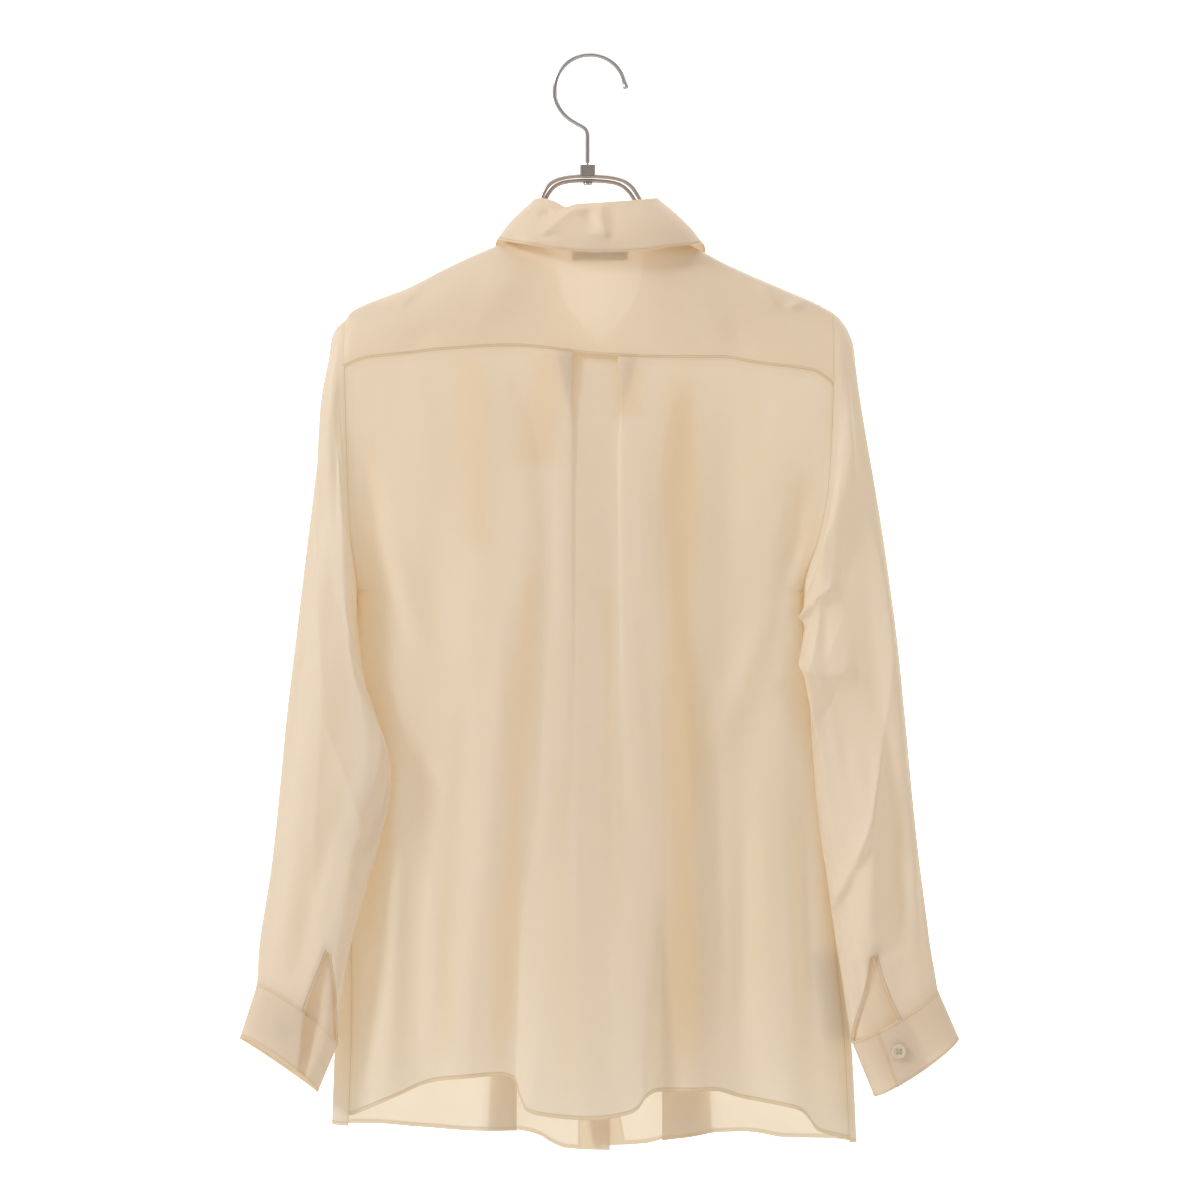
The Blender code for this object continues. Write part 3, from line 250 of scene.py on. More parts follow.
# The hanger's arch from its middle to the arms, wire by wire.
ARCH = {
    ("left", "outer"): table("x y down", (-1.6, 0.7, 95.4), (-12, 0.7, 95.5), (-22, 0.7, 96.9),
                             (-29.5, 0.8, 99.9), (-34.5, 0.9, 104.3), (-38, 1.1, 111),
                             (-40.2, 1.4, 118), (-42, 1.8, 126), (-44.8, 2.4, 136), (-49.2, 3.2, 146),
                             (-55.5, 4.3, 153), (-63, 5.4, 156.2)),
    ("left", "inner"): table("x y down", (-1.6, 0.7, 99), (-12, 0.7, 99.1), (-21.4, 0.7, 100.4),
                             (-27.8, 0.8, 103.2), (-32, 0.9, 107.6), (-35.2, 1.1, 113),
                             (-37.6, 1.4, 119.5), (-39.6, 1.8, 127), (-42.6, 2.4, 137), (-47.2, 3.2, 147),
                             (-54, 4.3, 154.4), (-62.4, 5.4, 157.2)),
    ("right", "outer"): table("x y down", (8, 0.7, 95.6), (19, 0.7, 96.8), (27.6, 0.8, 99.6),
                              (33.6, 0.9, 104.2), (38, 1.1, 110.6), (42.6, 1.5, 119), (48.6, 2.2, 130),
                              (55.6, 3.2, 141), (63.4, 4.3, 149.6), (72, 5.4, 155)),
    ("right", "inner"): table("x y down", (8, 0.7, 99.2), (18.4, 0.7, 100.4), (25.6, 0.8, 103),
                              (31, 0.9, 107.6), (35.2, 1.1, 113.6), (40, 1.5, 121.6), (46.4, 2.2, 132),
                              (53.8, 3.2, 142.6), (62.2, 4.3, 151), (71.4, 5.4, 156)),
}
# The arms beyond the arch: place along the arm and sag below the shoulder.
ARM = {
    "left": table("x sag", (-72, 0), (-96, 0), (-122, 0), (-140, 1), (-149, 9), (-156, 9.5),
                  (-164, 2), (-175, 0.5), (-184, 1)),
    "right": table("x sag", (82, 0), (106, 0), (130, 0), (144, 1), (152, 9), (159, 9.5),
                   (167, 2), (176, 0.5), (183, 1)),
}


def curve(x, xs, ys):
    """A smooth curve through points, with no overshoot."""
    xs, ys = np.asarray(xs, float), np.asarray(ys, float)
    step = np.diff(xs)
    slope = np.diff(ys) / step
    turn = np.zeros_like(ys)
    before, after = slope[:-1], slope[1:]
    rising = before * after > 0
    total = np.where(rising, before + after, 1.0)
    turn[1:-1] = np.where(rising, 2.0 * before * after / total, 0.0)
    turn[0], turn[-1] = slope[0], slope[-1]
    x = np.clip(np.asarray(x, float), xs[0], xs[-1])
    k = np.clip(np.searchsorted(xs, x) - 1, 0, len(step) - 1)
    t = (x - xs[k]) / step[k]
    ends = (1 + 2 * t) * (1 - t) ** 2 * ys[k] + t * t * (3 - 2 * t) * ys[k + 1]
    bends = t * (1 - t) ** 2 * turn[k] - t * t * (1 - t) * turn[k + 1]
    return ends + step[k] * bends


def ease(t):
    """Smooth step from 0 to 1."""
    t = np.clip(t, 0.0, 1.0)
    return t * t * (3 - 2 * t)


def mix(a, b, t):
    """Part way from a to b."""
    return a + (b - a) * t


def place(x, y, down):
    """Points as one array, with the last axis x, y, down."""
    return np.stack(np.broadcast_arrays(x, y, down), axis=-1).astype(float)


# ---------------------------------------------------------------- the body's form
def ridge(x):
    """Height of the shoulder's top."""
    return curve(x, SHOULDER["x"], SHOULDER["down"])


def edge_x(side, down):
    """The body's edge on one side."""
    return curve(down, BODY["down"], BODY[side])


def rounding(below):
    """How far the cloth has left the shoulder's ridge, from 0 to 1."""
    return np.sqrt(1 - (1 - np.clip(below / RIDGE_ROUND, 0, 1)) ** 2)


def back_at(down, below):
    """How far the back's cloth stands out, at a height below the shoulder's ridge."""
    return curve(down, BODY["down"], BODY["back"]) * rounding(below)


def openness(down):
    """1 where the armhole is at its deepest, 0 from the underarm down."""
    t = np.clip((down - ARMHOLE_CLOSE) / (UNDERARM - ARMHOLE_CLOSE), 0, 1)
    return (1 - t ** ARMHOLE_POWER) ** (1 / ARMHOLE_POWER)


def depth(x, down, face, angle):
    """How far the back or front stands out, at an angle of the section."""
    full = curve(down, BODY["down"], BODY[face]) * rounding(down - ridge(x))
    near_side = abs(np.sin(np.radians(angle))) ** SIDE_EDGE
    open_part = mix(1 - ease((down - SECTION_ROUND) / SECTION_ROUND), openness(down), near_side)
    return full * mix(np.cos(np.radians(angle)), 1, open_part)


def across(angle, down):
    """x at an angle of the section: -90 at the left edge, 90 at the right."""
    part = (np.sin(np.radians(angle)) + 1) / 2
    return mix(edge_x("left", down), edge_x("right", down), part)


def angle_at(x, down):
    """The angle of the section at x."""
    left, right = edge_x("left", down), edge_x("right", down)
    return np.degrees(np.arcsin(np.clip(2 * (x - left) / (right - left) - 1, -1, 1)))


def seam_turn(side, down):
    """How far round to the back the side seam lies at this height."""
    return SEAM_TURN[side] * ease((down - UNDERARM - 40) / 330)


def lap(down):
    """How far the right front lies outside the left one."""
    return BAND_LAP * ease((down - 150) / 70)


def pleat_stations(v):
    """x and inward depth of the pleat's stations, for each height v."""
    middle = curve(v, PLEAT_HEIGHTS, PLEAT_MIDDLE)
    reach = [curve(v, PLEAT_HEIGHTS, [PLEAT[f"reach_{k}"][s] for k in range(6)]) for s in range(9)]
    inward = [curve(v, PLEAT_HEIGHTS, [PLEAT[f"in_{k}"][s] for k in range(6)]) for s in range(9)]
    reach = np.stack([-r for r in reach] + reach[-2::-1], axis=-1)
    return middle[:, None] + reach, np.stack(inward + inward[-2::-1], axis=-1)


# ---------------------------------------------------------------- sleeves and cuffs
def armhole(side, angle):
    """The armhole's edge: 0 at the shoulder, 90 at the back, 180 at the underarm."""
    top = SHOULDER["down"][0 if side == "left" else -1]
    down = mix(top, UNDERARM, (1 - np.cos(np.radians(angle))) / 2)
    x = edge_x(side, down)
    out = np.where(np.sin(np.radians(angle)) >= 0, -1.0, 1.0)
    full = back_at(down, down - top) * openness(down)
    return place(x, out * full, down)


def ring(side, number, angle):
    """A sleeve's ring: 0 at the outer edge, 90 at the back, 180 at the inner edge."""
    rings = RINGS[side]
    order = np.arange(len(rings["outer"]))
    at = {name: curve(number, order, column) for name, column in rings.items()}
    outer = place(curve(at["outer"], SLEEVE_OUTER[side]["down"], SLEEVE_OUTER[side]["x"]),
                  at["y_outer"], at["outer"])
    inner = place(curve(at["inner"], SLEEVE_INNER[side]["down"], SLEEVE_INNER[side]["x"]),
                  at["y_inner"], at["inner"])
    turn = np.radians(angle)
    stand = np.where(np.sin(turn) > 0, -at["near"], -at["far"]) * np.sin(turn)
    middle, half = (outer + inner) / 2, (outer - inner) / 2
    return middle + half * np.cos(turn)[..., None] + place(0, stand, 0)


def neck_seam(station, side):
    """A point of the neck seam on the body's cloth."""
    order = np.arange(9)
    x = NECK_X + side * curve(station, order, NECK_SEAM["reach"])
    below = curve(station, order, NECK_SEAM["below"])
    down = ridge(x) + abs(below)
    y = -np.sign(below) * back_at(down, abs(below))
    return place(x, y + np.where((side > 0) & (below < 0), lap(down), 0), down)


def roll(station, side):
    """A point of the collar's roll."""
    order = np.arange(9)
    left, right = (place(curve(station, order, form["reach"]) * side, curve(station, order, form["y"]),
                         curve(station, order, form["down"])) for form in (ROLL["left"], ROLL["right"]))
    crest = np.where(side[:, None] < 0, left, right)
    at, width, sag = ROLL_DIP
    dip = sag * np.exp(-((crest[:, 0] + NECK_X - at) / width) ** 2)
    return crest + place(NECK_X, 0, dip)


def unit(vectors):
    """Vectors of length 1."""
    return vectors / np.linalg.norm(vectors, axis=-1, keepdims=True)


def roll_frame(station, side):
    """The roll's points, and at each the ways down the stand and out from it."""
    crest = roll(station, side)
    along = unit(np.gradient(crest, axis=0, edge_order=2))
    into = neck_seam(station, side) - crest
    into = unit(into - along * (into * along).sum(axis=-1, keepdims=True))
    return crest, into, np.cross(along, into)


def collar_stations(count):
    """Stations from the left front end round the back to the right, and their side."""
    station = np.linspace(-8, 8, count)
    return abs(station), np.where(station < 0, -1.0, 1.0)


# ---------------------------------------------------------------- folds of the cloth
# Soft ridges (positive) and troughs of each piece, as lines from one place to another.
BACK_CREASES = table("x0 down0 x1 down1 width rise",
                     (-186, 300, -150, 470, 9, -2.2), (-178, 360, -110, 520, 12, 1.8),
                     (176, 330, 138, 500, 10, -2.4), (168, 400, 96, 560, 13, 2.0),
                     (-130, 250, -120, 420, 14, 0.9), (118, 256, 108, 430, 14, -0.9),
                     (-96, 480, -112, 800, 10, -1.8), (-66, 420, -84, 700, 9, 1.6),
                     (-150, 560, -160, 815, 9, 2.0), (-176, 520, -182, 800, 8, -1.8),
                     (96, 500, 104, 800, 9, -2.0), (70, 430, 82, 640, 9, 1.4),
                     (136, 540, 142, 820, 10, 1.9), (166, 560, 176, 810, 8, -1.9),
                     (122, 600, 120, 815, 7, -1.2), (-124, 640, -128, 812, 7, 1.3),
                     (-36, 300, -30, 470, 8, -0.8), (40, 300, 44, 460, 8, 0.8))
# Where painted shade darkens the back's cloth, standing in for the folds that hang close behind it.
BACK_PAINTED_SHADE = table("x0 down0 x1 down1 width strength",
                   (72, 246, 75, 826, 13, 0.95), (-46, 400, -73, 812, 9, 0.65),
                   (-34, 238, -42, 330, 14, 0.6), (-96, 236, -90, 400, 12, 0.55),
                   (35, 244, 32, 290, 9, 0.6), (-128, 240, -134, 640, 9, 0.25),
                   (128, 250, 134, 760, 9, 0.3), (-176, 300, -168, 560, 8, 0.35),
                   (-22, 560, -20, 843, 7, 0.25), (14, 420, 22, 700, 6, 0.35),
                   (172, 330, 180, 560, 7, 0.4), (-108, 520, -114, 812, 8, 0.3))
YOKE_CREASES = table("x0 down0 x1 down1 width rise",
                     (-172, 190, -158, 203, 3.5, 0.9), (-155, 203, -128, 176, 3.5, 0.9),
                     (133, 183, 152, 203, 3.5, 0.9), (156, 203, 174, 194, 3.5, 0.8),
                     (-150, 238, -120, 214, 9, -0.6), (128, 240, 104, 214, 9, -0.6),
                     (-52, 160, -96, 228, 12, 0.7), (66, 160, 112, 232, 12, 0.7))
FRONT_CREASES = {
    "left": table("x0 down0 x1 down1 width rise",
                  (-180, 300, -150, 460, 10, -2.0), (-170, 380, -120, 560, 12, 1.8),
                  (-110, 480, -120, 850, 11, 2.0), (-140, 540, -150, 840, 10, -2.0),
                  (-168, 560, -176, 845, 9, 1.7), (-34, 300, -30, 700, 9, -1.2),
                  (-96, 230, -100, 420, 13, 1.0)),
    "right": table("x0 down0 x1 down1 width rise",
                   (172, 320, 146, 480, 10, -2.1), (162, 400, 116, 570, 12, 1.8),
                   (116, 500, 126, 850, 10, 1.9), (146, 560, 154, 845, 10, -2.0),
                   (178, 580, 186, 850, 9, 1.6), (36, 320, 34, 720, 9, -1.1),
                   (104, 240, 100, 420, 13, 1.0)),
}
# On a sleeve the lines run over ring number and angle: 90 faces back, 270 faces front.
SLEEVE_CREASES = {
    "left": table("n0 a0 n1 a1 width rise",
                  (0.6, 60, 5, 46, 9, 1.6), (0.8, 88, 4.5, 80, 8, -1.4), (1.5, 128, 5.5, 100, 9, 1.8),
                  (2.5, 160, 6.5, 122, 9, -2.0), (4, 40, 12.5, 34, 8, -1.9), (5, 62, 13.6, 58, 9, 1.9),
                  (6.5, 150, 9.4, 118, 9, 2.4), (7.4, 166, 10.2, 138, 8, -2.2), (8.6, 128, 13, 136, 8, 1.6),
                  (9.2, 96, 13.8, 84, 7, -1.6), (10.4, 24, 13.8, 20, 7, 1.5), (1, 250, 6, 262, 10, 1.6),
                  (3, 300, 9, 292, 10, -1.8), (7, 240, 12, 248, 9, 1.8), (9, 320, 13.6, 316, 8, 1.5)),
    "right": table("n0 a0 n1 a1 width rise",
                   (0.6, 48, 5.4, 40, 9, -1.6), (0.8, 76, 5, 66, 9, 1.5), (1.2, 120, 4.6, 96, 8, 2.0),
                   (2.2, 150, 5.6, 112, 8, -2.3), (3.4, 166, 6.6, 130, 8, 2.2), (4.6, 172, 7.8, 148, 8, -1.9),
                   (4.4, 34, 12.6, 44, 8, 1.9), (5.4, 60, 13.4, 64, 9, -1.9), (8, 110, 13.2, 96, 8, 1.6),
                   (9.6, 44, 12.4, 84, 9, -2.6), (10.2, 84, 12.2, 122, 9, 2.2), (11, 20, 13.8, 26, 7, -1.3),
                   (1, 252, 6, 260, 10, -1.6), (3, 296, 9, 300, 10, 1.8), (7, 236, 12, 244, 9, -1.8),
                   (9, 316, 13.6, 320, 8, -1.5)),
}
RELIEF = 2.2              # how strongly the soft folds stand out
# Slow waves that keep the cloth from lying dead flat: turns per metre across and down.
WAVES = table("across down phase rise",
              (2.3, 3.1, 0.4, 0.55), (-4.1, 2.2, 2.1, 0.42), (7.3, 4.6, 4.0, 0.30),
              (-9.7, 6.8, 1.2, 0.22), (5.2, -9.4, 5.1, 0.18))


def relief(u, v, creases, names=("x0", "down0", "x1", "down1")):
    """The rise of the creases at u, v."""
    u0, v0, u1, v1 = (creases[name] for name in names)
    rise = np.zeros(np.broadcast(u, v).shape)
    for k, width in enumerate(creases["width"]):
        run = np.array([u1[k] - u0[k], v1[k] - v0[k]])
        t = ((u - u0[k]) * run[0] + (v - v0[k]) * run[1]) / (run ** 2).sum()
        held = np.clip(t, 0, 1)
        apart = np.hypot(u - mix(u0[k], u1[k], held), v - mix(v0[k], v1[k], held))
        swell = np.exp(-(apart / width) ** 2) * np.sin(np.pi * held) ** 0.8
        rise += RELIEF * creases["rise"][k] * swell
    return rise


def painted_shade_at(x, down):
    """How much painted shade darkens the back's cloth, from 0 to 1."""
    painted_shade = np.zeros_like(x)
    for k in range(len(BACK_PAINTED_SHADE["x0"])):
        one = {name: column[k] for name, column in BACK_PAINTED_SHADE.items()}
        part = (down - one["down0"]) / (one["down1"] - one["down0"])
        middle = mix(one["x0"], one["x1"], np.clip(part, 0, 1))
        ends = ease((part + 0.03) / 0.10) * ease((1.04 - part) / 0.16)
        wide = one["width"] * (1 + 0.25 * np.sin(down / 31.0 + one["x0"]))
        painted_shade = painted_shade + one["strength"] * ends / (1 + (abs(x - middle) / wide) ** 3)
    return np.clip(painted_shade, 0, 1)


def waves(x, down):
    """Slow uneven waves of the cloth."""
    turn = 2 * np.pi * MM
    return sum(rise * np.sin(turn * (a * x + d * down) + phase)
               for a, d, phase, rise in zip(*WAVES.values()))


def refine(stations, per):
    """Rows of stations as smooth curves with more points."""
    order = np.arange(stations.shape[1])
    fine = np.linspace(0, order[-1], order[-1] * per + 1)
    return np.stack([curve(fine, order, row) for row in stations])


def off_seams(angle, below):
    """1 over a panel's middle, falling to 0 at its side seams and its top."""
    return np.clip(2.2 * np.cos(np.radians(angle)), 0, 1) * ease(below / 40)


def row_heights(top, bottom, upper, lower_rows):
    """Heights from top to bottom: the parts of the upper rows, then rows from the underarm."""
    lower = np.linspace(0, 1, lower_rows + 1)[:, None]
    return np.concatenate([mix(top, UNDERARM, upper[:, None]), mix(UNDERARM, bottom, lower)])


def normals(points, closed_rows=0):
    """The unit normal of a grid at each of its points."""
    across, along = np.gradient(points, axis=1), np.gradient(points, axis=0)
    if closed_rows:
        across[:closed_rows, [0, -1]] = (points[:closed_rows, 1] - points[:closed_rows, -2])[:, None] / 2
        along[:closed_rows, [0, -1]] = (along[:closed_rows, 0] + along[:closed_rows, -1])[:, None] / 2
    return unit(np.cross(across, along))


# ---------------------------------------------------------------- the pieces as fine sheets
def yoke_grid():
    """The yoke, and which of its cells are cloth."""
    low, high = NECK_X - NECK_HALF, NECK_X + NECK_HALF
    tip, other_tip = SHOULDER["x"][0], SHOULDER["x"][-1]
    side = np.sin(np.pi / 2 * np.arange(49) / 48)
    x = np.concatenate([mix(low, tip, side)[:0:-1], np.linspace(low, high, 61),
                        mix(high, other_tip, side)[1:]])
    reach = np.clip(1 - abs(x - NECK_X) / NECK_HALF, 0, 1)
    start = ridge(x) + NECK_DROP * reach ** 0.9
    seam = curve(x, YOKE_SEAM["x"], YOKE_SEAM["down"])
    front = FRONT_YOKE * np.linspace(1, 0, 17)[:-1, None] ** 1.8
    back = 1 - np.cos(np.pi / 2 * np.arange(45) / 44)[:, None]
    down = np.concatenate([ridge(x) + front, mix(start, seam, back)])
    facing = np.concatenate([np.ones(16), -np.ones(45)])[:, None]
    fade = ease((down - ridge(x)) / 40) * np.clip(1.6 - abs(x) / 130, 0, 1)
    y = facing * (back_at(down, down - ridge(x)) + waves(x, down) * fade)
    y += facing * relief(x, down, YOKE_CREASES)
    keep = np.ones((down.shape[0] - 1, len(x) - 1), bool)
    keep[:16] = abs((x[1:] + x[:-1]) / 2 - NECK_X) > NECK_HALF
    return place(x, y, down), keep


def back_grid():
    """The back panel with its inverted pleat."""
    lower_rows, side_columns = 120, 44
    upper = np.sin(np.pi / 2 * np.arange(56) / 56)
    v = np.concatenate([0.3 * upper, np.linspace(0.3, 1, lower_rows + 1)])
    pleat_x, inward = (refine(stations, 6) for stations in pleat_stations(v))
    x = np.zeros((len(v), 2 * side_columns + pleat_x.shape[1]))
    down = np.full_like(x, UNDERARM) + (v - 0.3)[:, None] * 600
    for _ in range(5):
        left_turn, right_turn = seam_turn("left", down[:, :1]), seam_turn("right", down[:, -1:])
        part = np.arange(side_columns) / side_columns
        left_end = angle_at(pleat_x[:, :1], down[:, side_columns:side_columns + 1])
        right_start = angle_at(pleat_x[:, -1:], down[:, -side_columns - 1:-side_columns])
        left_angle = mix(-90 + left_turn, left_end, part)
        right_angle = mix(right_start, 90 - right_turn, part + 1 / side_columns)
        x = np.concatenate([across(left_angle, down[:, :side_columns]), pleat_x,
                            across(right_angle, down[:, -side_columns:])], axis=1)
        top = curve(x[0], YOKE_SEAM["x"], YOKE_SEAM["down"])
        hem = curve(x[-1], BACK_HEM["x"], BACK_HEM["down"])
        down = row_heights(top, hem, upper, lower_rows)
    angle = angle_at(x, down)
    inward = np.pad(inward, ((0, 0), (side_columns, side_columns)))
    y = -depth(x, down, "back", angle) + inward
    for k in range(len(BACK_FOLDS["width"])):
        fold = {name: column[k] for name, column in BACK_FOLDS.items()}
        middle = mix(fold["x_top"], fold["x_hem"], v)[:, None]
        swell = mix(fold["swell_top"], fold["swell_hem"], v)[:, None]
        y -= swell * np.exp(-((x - middle) / fold["width"]) ** 2)
    fade = off_seams(angle, down - top)
    y -= (waves(x, down) + relief(x, down, BACK_CREASES)) * fade
    return place(x, y, down)


def front_rows():
    """The upper rows of the fronts and their bands."""
    return (1 - np.cos(np.pi * np.arange(64) / 64)) / 2


def front_grid(side):
    """One front, from its band round to the side seam, with its soft fold."""
    sign = -1 if side == "left" else 1
    band_columns, side_columns, lower_rows = 12, 44, 110
    v = np.concatenate([0.32 * front_rows(), np.linspace(0.32, 1, lower_rows + 1)])[:, None]
    fold = FRONT_FOLD[side]
    near, far = curve(v, fold["v"], fold["near"]), curve(v, fold["v"], fold["far"])
    folded = ease((v - 0.02) / 0.14)
    flat = (near + far) / 2 + np.array([-12, -8, -4, 0, 4, 8, 12])
    turned = np.concatenate([far - FOLD_TURN, far, far - FOLD_TURN, (near + far) / 2,
                             near + FOLD_TURN, near, near + FOLD_TURN], axis=1)
    fold_x = refine(sign * mix(flat, turned, folded), 5)
    layers = refine(ease(v / 0.10) * FOLD_LAYER * np.array([0, 0.32, 0.68, 1, 1.32, 1.68, 2]), 5)
    down = np.full((len(v), band_columns + fold_x.shape[1] + side_columns), UNDERARM) + (v - 0.32) * 600
    for _ in range(5):
        seam = curve(down[:, :1], BAND[side]["down"], BAND[side]["seam"])
        inner = mix(seam, fold_x[:, :1], np.arange(band_columns) / band_columns)
        start = angle_at(fold_x[:, -1:], down[:, -side_columns - 1:-side_columns])
        end = sign * (90 + seam_turn(side, down[:, -1:]))
        angle = mix(start, end, np.arange(1, side_columns + 1) / side_columns)
        x = np.concatenate([inner, fold_x, across(angle, down[:, -side_columns:])], axis=1)
        top = ridge(x[0]) + FRONT_YOKE
        hem = curve(x[-1], FRONT_HEM[side]["x"], FRONT_HEM[side]["down"])
        down = row_heights(top, hem, front_rows(), lower_rows)
    angle = np.concatenate([angle_at(x[:, :-side_columns], down[:, :-side_columns]), angle], axis=1)
    relaxed = layers[:, -1:] * (1 - ease((sign * x[:, -side_columns:] - far) / 50))
    inward = np.concatenate([np.zeros_like(inner), layers, relaxed], axis=1)
    y = depth(x, down, "front", angle) - inward
    if side == "right":
        y += lap(down) * (1 - ease((x - x[:, :1]) / 45))
    fade = off_seams(angle, down - top) * ease(abs(x - x[:, :1]) / 20)
    y -= FOLD_LEAN[side] * np.exp(-((x - sign * (near + far) / 2) / LEAN_WIDTH) ** 2) * ease(v / 0.2)
    y += (waves(-x, down) + relief(x, down, FRONT_CREASES[side])) * fade
    return place(x, y, down)


def band_grid(side):
    """A front band, from its free edge to its seam."""
    sign = -1 if side == "left" else 1
    part = np.arange(9) / 8
    yoke_end = ridge(NECK_X + sign * NECK_HALF) + FRONT_YOKE
    top, hem = mix(NECKLINE_FRONT, yoke_end, part), np.full(9, 870.0)
    for _ in range(3):
        down = row_heights(top, hem, front_rows(), 110)
        edge = curve(down[:, :1], BAND[side]["down"], BAND[side]["edge"])
        seam = curve(down[:, -1:], BAND[side]["down"], BAND[side]["seam"])
        x = mix(edge, seam, part)
        hem = curve(x[-1], FRONT_HEM[side]["x"], FRONT_HEM[side]["down"])
    y = depth(x, down, "front", angle_at(x, down))
    return place(x, y + (lap(down) if side == "right" else 0), down)


# Long pressed lines of each sleeve: what they run along, its places, where the line lies
# across at each, how wide it falls away before and after, and its rise.
PRESSED = {
    "left": (("number", (1.5, 4.6, 7, 10.3, 12), (26, 30, 64, 85, 106), 11, 7, 4.5),
             ("number", (0.5, 3, 6, 9), (84, 92, 112, 122), 7, 9, 2.6),
             ("angle", (66, 100, 150), (8.0, 8.6, 9.6), 9, 5, 2.4),
             ("angle", (96, 128, 170), (5.0, 5.8, 6.6), 9, 6, 2.6)),
    "right": (("number", (1.2, 3.9, 5.4, 7, 9.1, 10.5, 12.4), (66, 60, 44, 33, 72, 93, 107), 8, 11, 4.5),
              ("angle", (56, 74, 91, 128, 172), (8.4, 9.1, 9.8, 10.3, 10.6), 14, 3, 5.5),
              ("angle", (96, 124, 150, 178), (4.9, 3.9, 3.2, 2.9), 12, 5, 7.0),
              ("angle", (80, 120, 150, 178), (7.0, 6.0, 5.0, 4.2), 12, 6, 6.0),
              ("number", (1.2, 3.5, 5.4, 7.4), (112, 124, 140, 150), 8, 6, 4.5),
              ("number", (4.6, 6.4, 8.4, 10), (150, 146, 140, 134), 6, 9, 4.0)),
}
DEGREE = 0.45             # one degree round a sleeve, in millimetres
SLEEVE_ROWS = 171         # rows of a sleeve above its slit, which close round it
RING_STEP = 30.0          # from ring to ring


def pressed(number, angle, line):
    """The rise of a long pressed line, which has an edge."""
    along, places, across_at, before, after, rise = line
    u, v, scale = (number, angle, DEGREE) if along == "number" else (angle, number, RING_STEP)
    apart = (v - curve(u, places, across_at)) * scale
    span = places[-1] - places[0]
    held = ease((u - places[0]) / (0.2 * span)) * ease((places[-1] - u) / (0.2 * span))
    return rise * held * np.exp(0.1 - np.sqrt(apart ** 2 + 0.5) / np.where(apart < 0, before, after))


def sleeve_at(side, number, angle):
    """Points of a sleeve as it hangs, before its small folds."""
    last, apex = len(RINGS[side]["outer"]) - 1, SLIT_APEX[side]
    hung = ring(side, number, angle)
    leaving = armhole(side, angle) + hung - ring(side, np.zeros((1, 1)), angle)
    points = mix(leaving, hung, ease(number / HEAD_RINGS)[..., None])
    end = cuff_ring(side, angle, np.zeros((1, 1))) - ring(side, np.full((1, 1), last), angle)
    return points + end * ease((number - apex) / (last - apex))[..., None]


def sleeve_grid(side):
    """A sleeve from its armhole to the cuff."""
    last, apex = len(RINGS[side]["outer"]) - 1, SLIT_APEX[side]
    number = np.concatenate([np.linspace(0, apex, SLEEVE_ROWS), np.linspace(apex, last, 31)[1:]])[:, None]
    past = (number - apex) / (last - apex)
    slit = SLIT[side]
    under = curve(past, slit["part"], slit["under"])
    over = curve(past, slit["part"], slit["over"]) + 360
    angle = mix(under, over, np.arange(141) / 140)
    points = sleeve_at(side, number, angle)
    creases, round_at = SLEEVE_CREASES[side], angle % 360
    rise = relief(number * RING_STEP, round_at * DEGREE,
                  dict(creases, n0=creases["n0"] * RING_STEP, n1=creases["n1"] * RING_STEP,
                       a0=creases["a0"] * DEGREE, a1=creases["a1"] * DEGREE), ("n0", "a0", "n1", "a1"))
    rise += 0.8 * waves(2.2 * round_at * np.cos(np.radians(round_at)), points[..., 2])
    for line in PRESSED[side]:
        rise += pressed(number, round_at, line)
    at_slit = np.clip(np.minimum(angle - under, over - angle) / 12, 0, 1)
    rise *= ease(number / 1.6) * ease((last - number) / 0.8) * np.where(past > 0, ease(at_slit), 1)
    return points - sign_out(points) * normals(points, SLEEVE_ROWS) * rise[..., None]


def facing_grid(side):
    """The strip that faces a sleeve's slit underneath."""
    last, apex = len(RINGS[side]["outer"]) - 1, SLIT_APEX[side]
    number = np.linspace(apex - 0.15, last, 25)[:, None]
    past = np.clip((number - apex) / (last - apex), 0, 1)
    slit = SLIT[side]
    over = curve(past, slit["part"], slit["over"]) - FACING_LAP
    under = curve(past, slit["part"], slit["under"]) + FACING_LAP
    points = sleeve_at(side, number, mix(over, under, np.arange(17) / 16))
    middle = ring(side, number, np.array([[0.0, 180.0]])).mean(axis=1, keepdims=True)
    return points + unit(middle - points) * FACING_UNDER


def sign_out(points):
    """1 where a grid's normals look inwards, -1 where they look outwards."""
    middle = points.mean(axis=1, keepdims=True)
    facing = (normals(points) * (points - middle)).sum(axis=-1).mean()
    return -1.0 if facing > 0 else 1.0


def cuff_ring(side, angle, part):
    """Points of a cuff at angles round it and parts of its height."""
    cuff = CUFF[side]
    top, bottom = np.array(cuff["top"], float), np.array(cuff["bottom"], float)
    outer, inner = (mix(top[k], bottom[k], part[..., None]) for k in (0, 1))
    turn = np.radians(angle)
    under = cuff["lap"] * (1 - ease((angle - CUFF_TURN[0]) / CUFF_TURN[1]))
    up = np.sin(turn)
    stand = np.where(up > 0, under - CUFF_NEAR, -CUFF_FAR) * up
    lift = np.where(up > 0, -cuff["lift"], 0) * up
    middle, half = (outer + inner) / 2, (outer - inner) / 2
    return middle + half * np.cos(turn)[..., None] + place(0, stand, lift)


def cuff_grid(side):
    """A cuff, from the end underneath round to the end on top."""
    cuff = CUFF[side]
    part = np.linspace(0, 1, 17)[:, None]
    over = mix(cuff["over"][0], cuff["over"][1], part) + 360
    return cuff_ring(side, mix(cuff["under"], over, np.arange(121) / 120), part)


def stand_grid():
    """The collar stand, from the neck seam to inside the roll."""
    station, side = collar_stations(161)
    crest, into, _ = roll_frame(station, side)
    top, foot = crest + into * ROLL_INSIDE, neck_seam(station, side)
    return np.stack([mix(foot, top, t) for t in np.linspace(0, 1, 12)])


